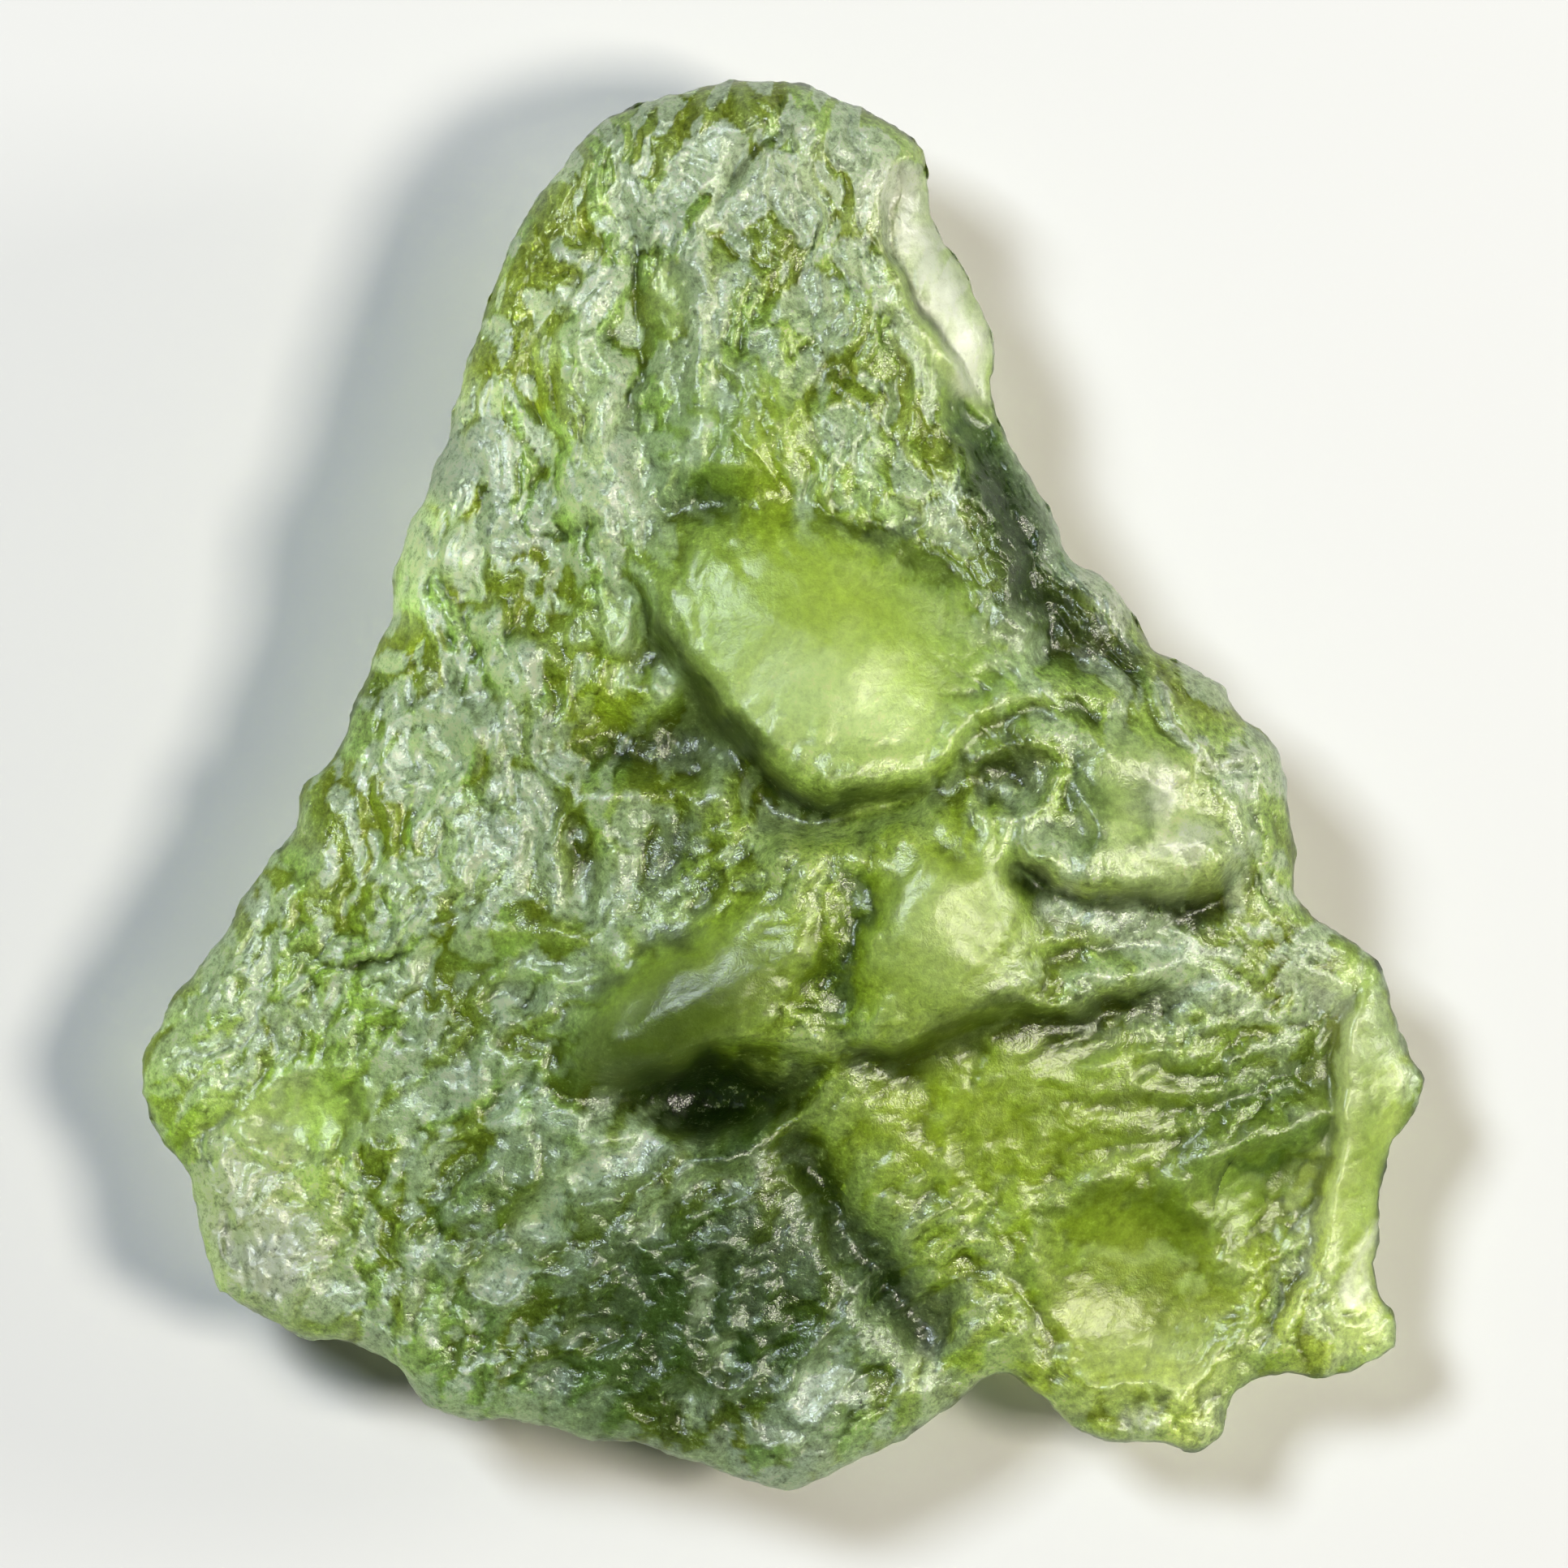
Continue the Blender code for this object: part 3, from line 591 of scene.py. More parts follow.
@dataclass(frozen=True)
class Outline:
    """The stone's outline, in four sides that meet at its corners.

    Left and right run down, top and bottom run towards +X.
    """

    left: Points
    bottom: Points
    right: Points
    top: Points

    def side_points(self, side: Points, share: Array) -> Array:
        """Points on a side at shares of its length.

        Args:
            side: One of the four sides.
            share: Shares of its length.

        Returns:
            The points, one row each.
        """
        curve = smooth_curve(side, 0.15)
        run = np.concatenate([[0.0], np.cumsum(np.hypot(*np.diff(curve, axis=0).T))])
        place = share * run[-1]
        return np.stack([np.interp(place, run, curve[:, 0]), np.interp(place, run, curve[:, 1])], axis=-1)

    def patch(self, u: Array, v: Array) -> tuple[Array, Array]:
        """Coons patch over the outline.

        The blend between left and right and the one between bottom and top are added, and the blend of
        the four corners is taken off, so the square's edges land on the outline.

        Args:
            u: Parameter from the left side to the right.
            v: Parameter from the bottom side to the top.

        Returns:
            The places along X and Y.
        """
        bottom = self.side_points(self.bottom, u)
        top = self.side_points(self.top, u)
        left = self.side_points(self.left, 1.0 - v)
        right = self.side_points(self.right, 1.0 - v)
        u = u[:, None]
        v = v[:, None]
        low = (1.0 - u) * np.array(self.bottom[0]) + u * np.array(self.bottom[-1])
        high = (1.0 - u) * np.array(self.top[0]) + u * np.array(self.top[-1])
        patch = (1.0 - v) * bottom + v * top + (1.0 - u) * left + u * right - (1.0 - v) * low - v * high
        return ragged(patch[:, 0], patch[:, 1])

    def inset(self, x: Array, y: Array) -> Array:
        """Distance from each place to the outline.

        Args:
            x: Places along X.
            y: Places along Y.

        Returns:
            The distances.
        """
        nearest = np.full_like(x, np.inf)
        for side in (self.left, self.bottom, self.right, self.top):
            curve = smooth_curve(side, 0.3)
            for (ax, ay), (bx, by) in zip(curve[:-1], curve[1:]):
                ux = bx - ax
                uy = by - ay
                t = np.clip(((x - ax) * ux + (y - ay) * uy) / (ux * ux + uy * uy), 0.0, 1.0)
                nearest = np.minimum(nearest, (x - ax - t * ux) ** 2 + (y - ay - t * uy) ** 2)
        return np.sqrt(nearest)


OUTLINE = Outline(
    left=(
        (-4.2, 15.05), (-5.1, 14.0), (-6.0, 12.7), (-6.65, 11.1), (-7.35, 9.1), (-7.6, 8.0), (-8.15, 6.6),
        (-8.8, 5.1), (-8.9, 3.9), (-9.4, 2.7), (-9.85, 1.6), (-10.2, 0.6), (-10.9, 0.0), (-11.1, -1.0),
        (-11.9, -2.0), (-12.8, -3.5), (-13.95, -5.0), (-14.6, -6.5), (-14.3, -7.7), (-13.6, -8.8),
        (-13.3, -9.7), (-13.2, -10.5), (-12.8, -11.5)),
    bottom=(
        (-12.8, -11.5), (-12.1, -11.9), (-11.0, -12.5), (-9.6, -12.75), (-8.75, -13.3), (-8.0, -14.15),
        (-7.0, -14.4), (-5.6, -14.5), (-4.5, -14.85), (-3.4, -14.95), (-1.6, -15.55), (0.0, -16.0),
        (1.4, -15.5), (3.2, -14.5), (4.8, -13.4), (5.6, -13.75), (6.9, -14.8), (8.3, -14.95),
        (9.3, -15.15), (9.9, -14.8), (10.1, -14.0), (10.8, -13.45), (12.4, -13.45), (13.4, -13.1),
        (13.9, -12.8)),
    right=(
        (3.15, 14.4), (3.4, 12.7), (4.1, 11.6), (4.7, 10.1), (4.7, 8.6), (5.2, 7.6), (5.95, 6.3),
        (6.5, 5.15), (7.4, 4.6), (7.9, 3.8), (8.4, 3.05), (9.8, 2.35), (10.2, 1.7), (11.1, 0.9),
        (11.4, -0.4), (11.55, -1.5), (11.6, -2.5), (12.3, -3.2), (13.3, -3.85), (13.75, -4.8),
        (14.1, -6.0), (14.55, -6.7), (14.3, -7.4), (13.65, -8.6), (13.5, -10.0), (13.45, -11.4),
        (13.85, -12.1), (13.9, -12.8)),
    top=(
        (-4.2, 15.05), (-3.5, 15.35), (-2.5, 15.7), (-1.2, 15.95), (0.2, 15.95), (1.4, 15.5),
        (2.4, 15.05), (3.15, 14.4)),
)

FLOW = Flow(
    guides=(
        (-1.0, 13.0, 85.0), (-4.5, 10.0, 78.0), (2.0, 10.0, 95.0), (-6.5, 6.0, 95.0), (-3.2, 7.0, 108.0),
        (-0.5, 6.8, 112.0), (5.8, 5.0, 118.0), (-8.5, 1.0, 100.0), (-5.0, 0.0, 100.0), (2.0, 3.0, 20.0),
        (7.5, 2.0, 140.0), (7.8, -0.8, 106.0), (-11.5, -4.5, 60.0), (-8.0, -6.5, 42.0), (-6.0, -7.0, 45.0),
        (-3.8, -8.4, 26.0), (-2.8, -9.6, 75.0), (-2.0, -12.0, 88.0), (0.8, -13.0, 64.0),
        (-5.5, -10.0, 60.0),
        (-10.0, -10.0, 80.0), (-2.0, -5.0, 25.0), (3.2, -3.2, 57.0), (7.5, -3.4, 165.0), (4.0, -7.0, 95.0),
        (9.5, -6.8, 12.0), (6.5, -8.2, 15.0), (7.5, -11.0, 75.0), (9.3, -8.6, 35.0), (12.5, -7.0, 70.0),
        (12.0, -11.5, 60.0), (3.5, -10.5, 60.0)),
    reach=2.6,
)


@dataclass(frozen=True)
class FaceRelief:
    """Height of the stone's face over the table, from broad forms to fine flow lines.

    Attributes:
        guides: Broad height at given points.
        guide_reach: Reach of a guide.
        form_warp: Share of the warp that the listed forms take.
        bosses: The big lump, the middle mass and the striped lump.
        ledges: Walls and steps.
        ridges: Ridges and furrows.
        ripples: Waves on the plain.
        lumps: Small domes and hollows.
        bowls: Scallops.
        smooth: Places with less pitting, whose height is the share that is lost.
        levels: Pitting from coarse to fine.
        facets: Small tilted faces between the pits, from coarse to fine.
    """

    guides: Guides = (
        (-1.0, 14.5, 6.0), (-4.5, 12.0, 5.6), (1.5, 13.0, 6.2), (-6.5, 9.0, 5.2), (-2.0, 9.0, 7.6),
        (2.0, 9.5, 7.4), (4.2, 9.3, 5.0), (-8.0, 5.0, 5.0), (-4.5, 5.0, 7.2), (0.0, 5.0, 8.4),
        (3.5, 5.0, 8.1), (5.8, 5.5, 5.4), (-9.5, 1.0, 4.6), (-6.0, 1.0, 6.6), (-2.5, 1.0, 7.2),
        (1.5, 2.0, 8.6), (5.0, 2.0, 8.1), (7.8, 2.6, 5.6), (-12.0, -4.5, 4.2), (-8.0, -3.5, 6.2),
        (-4.0, -3.0, 7.2), (0.0, -3.0, 7.8), (3.5, -3.0, 8.2), (7.5, -0.8, 8.0), (10.6, -1.0, 5.6),
        (-12.0, -8.5, 4.4), (-8.0, -8.0, 6.2), (-4.0, -8.0, 7.0), (0.0, -7.5, 6.8), (4.0, -7.5, 6.0),
        (8.0, -6.5, 5.6), (11.5, -5.0, 4.6), (13.5, -7.0, 3.5), (-10.0, -11.5, 4.4), (-6.0, -11.5, 5.8),
        (-2.0, -11.5, 6.3), (1.5, -12.0, 5.2), (4.5, -11.0, 5.0), (8.0, -11.0, 4.6), (11.5, -10.5, 3.8),
        (13.0, -12.0, 3.1), (-5.0, -14.0, 4.0), (0.0, -15.0, 4.0), (8.0, -14.4, 3.6))
    guide_reach: float = 2.4
    form_warp: float = 0.45
    bosses: tuple[Boss, ...] = (
        Boss(1.2, 1.5, 35.0, 0.9, (
            (-3.1, 4.5), (-2.6, 3.0), (-1.7, 2.0), (-1.2, 1.0), (-0.4, 0.45), (0.4, -0.05), (1.4, -0.35),
            (2.6, -0.15), (3.8, 0.9), (5.0, 2.4), (4.9, 4.4), (3.2, 5.6), (1.3, 5.8), (-0.7, 5.75),
            (-2.2, 5.3))),
        Boss(0.95, 1.3, 0.0, 0.0, (
            (-4.75, -5.4), (-4.35, -6.5), (-3.5, -6.75), (-2.4, -6.3), (-1.0, -5.8), (0.6, -5.7),
            (1.6, -5.8), (3.0, -6.0), (3.9, -5.5), (5.0, -5.2), (5.6, -4.2), (5.2, -2.6), (4.8, -1.2),
            (3.9, -0.5), (2.4, -0.65), (1.0, -1.1), (-0.5, -1.4), (-1.0, -2.4), (-1.9, -3.4),
            (-3.0, -3.9), (-4.0, -4.4))),
        Boss(0.7, 1.1, 0.0, 0.0, (
            (4.6, -1.2), (5.9, -2.0), (7.2, -2.5), (8.6, -2.6), (9.9, -2.1), (10.2, -0.8), (9.5, 0.3),
            (8.2, 0.8), (6.8, 1.1), (5.2, 1.0), (4.4, 0.2))),
    )
    ledges: tuple[Ledge, ...] = (
        # wall on the lower left of the big smooth lump
        Ledge(0.3, 0.6, 1.2, 0.9, 1.1, (
            (-3.5, 5.2), (-2.8, 3.3), (-1.9, 2.1), (-1.2, 1.1), (-0.4, 0.4), (0.5, -0.1), (1.5, -0.35),
            (2.7, -0.1), (4.0, 0.7))),
        # deep wall under the finger-like lump
        Ledge(0.6, 0.5, 1.5, 0.3, 1.0, (
            (-4.6, -6.7), (-3.5, -6.75), (-2.4, -6.25), (-1.0, -5.75), (0.5, -6.0), (1.3, -6.6))),
        # step from the middle mass down to the plain
        Ledge(0.8, 0.55, 1.4, 0.4, 0.9, (
            (0.8, -5.4), (2.0, -5.9), (3.0, -6.0), (3.9, -5.5), (5.0, -5.2), (6.2, -5.1), (7.4, -4.8),
            (8.4, -4.35), (9.6, -3.7))),
        # foot of the striped lump
        Ledge(0.75, 0.6, 1.5, 0.5, 0.8, (
            (4.8, -1.3), (5.9, -2.05), (7.2, -2.5), (8.6, -2.6), (9.8, -2.2), (10.5, -1.2))),
        # crest over the steep upper right slope
        Ledge(0.35, 0.9, 1.4, 0.7, 1.8, (
            (8.6, 1.9), (7.0, 2.3), (5.6, 2.9), (5.4, 4.2), (4.8, 6.0), (4.0, 7.9), (3.0, 9.6))),
        # crest over the glossy chip
        Ledge(0.25, 0.3, 1.0, 0.8, 2.4, (
            (4.7, 8.3), (4.2, 9.3), (3.4, 10.2), (2.7, 11.3), (2.3, 12.6), (2.6, 14.4))),
        # edge of the plain over the thin fins
        Ledge(0.3, 0.4, 1.3, 0.4, 1.6, (
            (13.5, -4.0), (12.8, -5.4), (12.4, -6.8), (12.45, -8.2), (12.3, -9.6), (12.0, -11.0),
            (11.2, -12.2), (10.4, -13.5))),
    )
    ridges: tuple[Ridge, ...] = (
        Ridge(0.35, 0.4, ((-5.4, -0.3), (-3.5, -0.15), (-1.0, -0.1))),
        Ridge(-0.8, 0.5, ((-1.0, 0.2), (0.2, -0.85), (1.2, -0.9), (3.4, -0.25))),
        Ridge(0.4, 0.4, ((-0.8, -1.6), (0.6, -1.35), (1.8, -0.95), (3.8, -0.55))),
        Ridge(-0.45, 0.6, ((1.9, -1.7), (1.5, -3.0), (1.05, -4.3), (0.8, -5.8))),
        Ridge(-0.45, 0.3, ((5.2, -4.1), (6.5, -3.9), (8.2, -3.6), (9.4, -3.9))),
        Ridge(0.26, 0.2, ((8.3, 2.8), (8.9, 1.8), (9.35, 0.9), (9.8, 0.6), (11.0, 0.6))),
        Ridge(0.35, 0.35, ((3.3, 0.0), (3.9, 1.3), (5.0, 1.9), (6.8, 2.1))),
        Ridge(0.35, 0.4, ((5.0, 1.2), (6.5, 1.1), (8.2, 0.8), (9.4, 0.2))),
        Ridge(-0.35, 0.45, ((-3.4, 5.2), (-1.9, 6.1), (-0.2, 6.3), (1.4, 6.15), (3.0, 5.4), (4.4, 4.2))),
        Ridge(-0.45, 0.35, ((-3.6, 14.0), (-3.4, 10.5), (-3.3, 8.0), (-2.7, 5.4))),
        Ridge(-0.3, 0.28, ((-1.6, 13.4), (-0.9, 14.4), (0.2, 14.9))),
        Ridge(0.35, 0.38, ((-1.9, 13.6), (-1.9, 11.0), (-2.0, 8.6), (-2.4, 6.8))),
        Ridge(-0.35, 0.35, ((0.6, 14.2), (0.5, 11.0), (0.9, 8.0))),
        Ridge(-0.3, 0.28, ((2.3, 10.8), (2.45, 8.6), (2.4, 6.8))),
        Ridge(-0.35, 0.4, ((-5.4, 11.8), (-5.6, 9.0), (-5.4, 6.0), (-4.8, 3.0))),
        Ridge(0.3, 0.4, ((-8.8, -3.4), (-6.4, -3.3), (-4.2, -3.4), (-3.2, -4.2))),
        Ridge(-1.15, 0.7, ((0.0, -7.4), (1.0, -9.3), (2.1, -10.9), (3.0, -12.0), (3.6, -13.8))),
        Ridge(-0.4, 0.28, ((4.9, -10.8), (5.6, -11.8), (5.9, -12.8), (6.0, -13.8))),
        Ridge(0.5, 0.45, ((8.3, -9.3), (9.8, -8.2), (10.6, -7.8), (11.6, -7.6), (12.6, -6.7))),
    )
    ripples: Ripples = Ripples(
        rows=((-6.1, 0.10, 0.0), (-6.9, 0.06, 1.0), (-7.6, 0.12, 2.0), (-8.4, 0.22, 0.5)),
        height=0.09, half_width=0.24, sway=0.2, turns=1.7, start=6.0, end=12.2)
    lumps: tuple[Lump, ...] = (
        Lump(-2.9, 0.8, 1.7, 0.95, -10.0, -1.1, 1.5), Lump(-4.6, -1.9, 1.2, 0.45, 90.0, -0.55, 1.3),
        Lump(-2.5, -1.3, 0.95, 0.9, 60.0, -0.6, 1.3), Lump(-2.2, -4.7, 2.8, 1.1, 26.0, 0.4, 1.5),
        Lump(-1.7, -7.05, 2.1, 0.8, 2.0, -2.1, 1.8), Lump(3.4, -3.5, 2.0, 1.5, 55.0, 0.4, 1.5),
        Lump(7.9, -0.7, 1.9, 1.5, 100.0, 0.3, 1.6), Lump(4.2, 8.0, 1.1, 0.75, 110.0, -0.5, 1.5),
        Lump(-0.6, 8.0, 1.5, 1.1, 70.0, 0.35, 1.5), Lump(-7.3, 5.3, 0.55, 0.55, 0.0, 0.3, 1.3),
        Lump(-6.8, 3.6, 0.5, 0.5, 0.0, 0.3, 1.3), Lump(-5.9, 2.6, 0.55, 0.55, 0.0, 0.35, 1.3),
        Lump(-3.7, 3.5, 0.5, 0.5, 0.0, 0.3, 1.3), Lump(-4.6, 6.4, 0.45, 0.45, 0.0, 0.22, 1.3),
        Lump(-3.7, 6.4, 0.4, 0.4, 0.0, 0.22, 1.3), Lump(-2.9, 2.2, 0.55, 0.55, 0.0, 0.45, 1.3),
        Lump(-5.2, 1.6, 0.5, 0.5, 0.0, 0.35, 1.3), Lump(-7.0, 1.1, 0.5, 0.5, 0.0, 0.3, 1.3),
        Lump(-8.0, 0.9, 0.5, 0.4, 0.0, 0.3, 1.3),
    )
    bowls: tuple[Bowl, ...] = (
        Bowl(5.1, 0.05, 1.15, 0.75, 20.0, 0.8, 0.12), Bowl(6.2, -1.0, 1.2, 0.8, 100.0, 0.3, 0.06),
        Bowl(-1.9, 6.4, 1.1, 0.75, 10.0, 0.35, 0.06), Bowl(-8.0, 0.8, 0.95, 0.85, 0.0, 0.3, 0.1),
        Bowl(-9.3, -4.0, 0.8, 0.25, 17.0, 0.35, 0.03), Bowl(-6.0, -4.7, 0.9, 0.5, 15.0, 0.4, 0.06),
        Bowl(-12.4, -10.2, 0.8, 0.3, 105.0, 0.35, 0.03), Bowl(-10.7, -7.5, 1.6, 0.95, 15.0, 0.35, 0.08),
        Bowl(-5.5, -9.7, 0.95, 0.7, 50.0, 0.45, 0.08), Bowl(-6.3, -10.9, 0.75, 0.55, 50.0, 0.4, 0.08),
        Bowl(-3.9, -8.6, 1.5, 0.6, 24.0, 0.45, 0.08), Bowl(-2.8, -9.7, 0.8, 0.65, 70.0, 0.4, 0.08),
        Bowl(-1.6, -11.5, 1.0, 0.55, 90.0, 0.4, 0.08), Bowl(-1.2, -12.9, 0.75, 0.55, 80.0, 0.35, 0.08),
        Bowl(0.9, -13.3, 1.3, 0.5, 64.0, 0.4, 0.08), Bowl(-2.3, -13.9, 0.75, 0.6, 90.0, 0.35, 0.08),
        Bowl(-1.6, -9.0, 1.0, 0.65, 20.0, 0.35, 0.08), Bowl(-4.1, -12.2, 0.95, 0.75, 60.0, 0.4, 0.08),
        Bowl(-7.3, -8.6, 0.95, 0.6, 45.0, 0.35, 0.08), Bowl(-6.2, -6.9, 1.0, 0.4, 42.0, 0.35, 0.08),
        Bowl(7.9, -11.5, 2.6, 2.3, -25.0, 0.65, 0.12), Bowl(10.9, -9.4, 1.7, 1.3, 50.0, 0.4, 0.08),
        Bowl(7.9, -14.2, 1.1, 0.6, 0.0, 0.3, 0.05),
    )
    smooth: tuple[Lump, ...] = (
        Lump(1.0, 3.1, 4.4, 3.0, -15.0, 1.0, 2.4), Lump(-2.2, -4.7, 3.2, 1.5, 27.0, 0.95, 2.2),
        Lump(3.6, -3.2, 2.7, 2.1, 55.0, 0.92, 2.0), Lump(5.5, -7.4, 4.4, 2.3, 5.0, 0.75, 1.8),
        Lump(-11.0, -7.4, 2.0, 1.0, 10.0, 0.7, 1.6), Lump(-1.2, 8.0, 1.6, 1.8, 90.0, 0.6, 1.6),
        Lump(8.0, -11.5, 2.7, 2.6, 80.0, 0.9, 1.8), Lump(10.8, -9.2, 1.8, 1.3, 40.0, 0.75, 1.6),
        Lump(13.1, -8.5, 4.6, 1.2, 90.0, 0.95, 1.8), Lump(3.7, 10.9, 3.4, 1.0, 105.0, 1.0, 2.0),
        Lump(-2.65, 10.9, 1.0, 0.5, 90.0, 0.6, 1.6), Lump(-5.0, -8.3, 1.2, 0.8, 20.0, 0.3, 1.6),
        Lump(8.0, -0.8, 2.3, 1.5, 100.0, 0.8, 1.8), Lump(-6.3, -3.9, 2.0, 0.7, 5.0, 0.4, 1.6),
    )
    levels: tuple[Pitting, ...] = (
        Pitting(2.3, 1.3, 0.28, 11, 0.1), Pitting(1.1, 1.3, -0.19, 12, 0.0),
        Pitting(0.55, 1.5, -0.12, 13, 0.05), Pitting(0.3, 2.2, -0.05, 14, 0.2),
    )
    facets: tuple[Facets, ...] = (
        Facets(0.85, 1.5, 0.17, 15, 0.0, 0.33), Facets(0.4, 1.6, 0.12, 16, 0.05, 0.3),
    )

    def broad(self, x: Array, y: Array) -> Array:
        """Broad height: the blend of the height guides."""
        return blend(x, y, self.guides, self.guide_reach)

    def etch(self, x: Array, y: Array) -> Array:
        """How much of the pitting a place keeps: the product of what each smooth place leaves."""
        kept = np.ones_like(x)
        for place in self.smooth:
            loss = np.zeros_like(x)
            place.add(loss, x, y)
            kept *= 1.0 - loss
        return kept

    def height(self, x: Array, y: Array) -> tuple[Array, Array, Array, Array]:
        """Height over the table: broad height, hand-placed forms, ripples, pitting and facets.

        Args:
            x: Places along X.
            y: Places along Y.

        Returns:
            The height, the part of it that is pitting, the mask of the painted sheen of the facets and the
            random values of the finest ones.
        """
        z = self.broad(x, y)
        bent_x, bent_y = warp(x, y)
        form_x = x + self.form_warp * (bent_x - x)
        form_y = y + self.form_warp * (bent_y - y)
        for form in (*self.bosses, *self.ledges, *self.ridges, *self.lumps, *self.bowls):
            form.add(z, form_x, form_y)
        self.ripples.add(z, x, y)
        rough = self.etch(x, y)
        pits = np.zeros_like(x)
        for level in self.levels:
            share = level.kept + (1.0 - level.kept) * rough
            pits += level.height * (level.field(bent_x, bent_y, FLOW) - 0.5) * share
        z += pits
        # mask of the painted sheen on the lit facets of etched ground
        sheen = np.zeros_like(x)
        for facets in self.facets:
            tilt, lit, own = facets.field(bent_x, bent_y, FLOW)
            z += facets.height * tilt * (facets.kept + (1.0 - facets.kept) * rough)
            sheen = np.maximum(sheen, lit * rough)
        return z, pits, sheen, own


@dataclass(frozen=True)
class BackRelief:
    """Height of the stone's back over the table.

    Attributes:
        lift: Height of its middle.
        curl: How much higher it is at the rim.
        curl_reach: How far in from the rim it curls.
        levels: Pitting from coarse to fine.
        rests: Worn bumps that the stone rests on, whose height is how far they reach down.
    """

    lift: float = 0.4
    curl: float = 1.9
    curl_reach: float = 6.0
    levels: tuple[Pitting, ...] = (
        Pitting(2.6, 1.25, 0.45, 21, 1.0), Pitting(1.2, 1.4, 0.22, 22, 1.0),
        Pitting(0.6, 1.7, 0.07, 23, 1.0),
    )
    rests: tuple[Lump, ...] = (
        Lump(-7.2, -6.4, 3.4, 2.6, 30.0, 0.95, 1.3), Lump(6.8, -6.9, 3.4, 2.6, -20.0, 0.95, 1.3),
        Lump(-0.6, 8.2, 3.0, 2.4, 80.0, 0.95, 1.3),
    )

    def broad(self, inset: Array) -> Array:
        """Broad height: level in the middle and easing up towards the rim."""
        return self.lift + self.curl * (1.0 - ease(inset / self.curl_reach))

    def height(self, x: Array, y: Array, inset: Array) -> Array:
        """Height over the table: broad height less pitting, less the bumps that reach down.

        Args:
            x: Places along X.
            y: Places along Y.
            inset: Distance to the outline.

        Returns:
            The height.
        """
        bent_x, bent_y = warp(x, y)
        pits = np.zeros_like(x)
        for level in self.levels:
            pits += level.height * (level.field(bent_x, bent_y, FLOW) - 0.5)
        bumps = np.zeros_like(x)
        for rest in self.rests:
            rest.add(bumps, x, y)
        return self.broad(inset) - pits - bumps


@dataclass(frozen=True)
class Patch:
    """Soft-edged oval patch of one tone on the face.

    Attributes:
        tone: Its tone.
        strength: Share that the tone takes in the middle.
        x: Centre along X.
        y: Centre along Y.
        half_length: Half its length along its heading.
        half_width: Half its width.
        heading: Heading of its length.
    """

    tone: Tone
    strength: float
    x: float
    y: float
    half_length: float
    half_width: float
    heading: float

    def cover(self, x: Array, y: Array) -> Array:
        """Share that the tone takes: the strength times a flat-topped bell curve."""
        oval = Oval(self.x, self.y, self.half_length, self.half_width, self.heading)
        return self.strength * np.exp(-oval.squared(x, y) ** 1.5)


@dataclass(frozen=True)
class Stripe:
    """Band of one tone along a path on the face.

    Attributes:
        tone: Its tone.
        strength: Share that the tone takes on the path.
        half_width: Distance from the path at which a good third of that share is left.
        points: Points of the path.
    """

    tone: Tone
    strength: float
    half_width: float
    points: Points

    def cover(self, x: Array, y: Array) -> Array:
        """Share that the tone takes: the strength times a bell curve of the distance to the path."""
        near, signed, place = beside_path(x, y, self.points, 3.0 * self.half_width)
        share = np.zeros_like(x)
        share[near] = self.strength * np.exp(-(signed / self.half_width) ** 2) * end_fade(place, 0.1)
        return share


@dataclass(frozen=True)
class CavityShade:
    """Painted shade in places that lie lower than their surroundings, and a painted glow on crests.

    Attributes:
        passes: Rounds of neighbour averaging that the surroundings' height takes.
        depth: Depth at which a place is as dark as it gets.
        share: Share of the painted dark shade there.
        crest: Share of the painted glow as high over the surroundings.
    """

    passes: int
    depth: float
    share: float
    crest: float


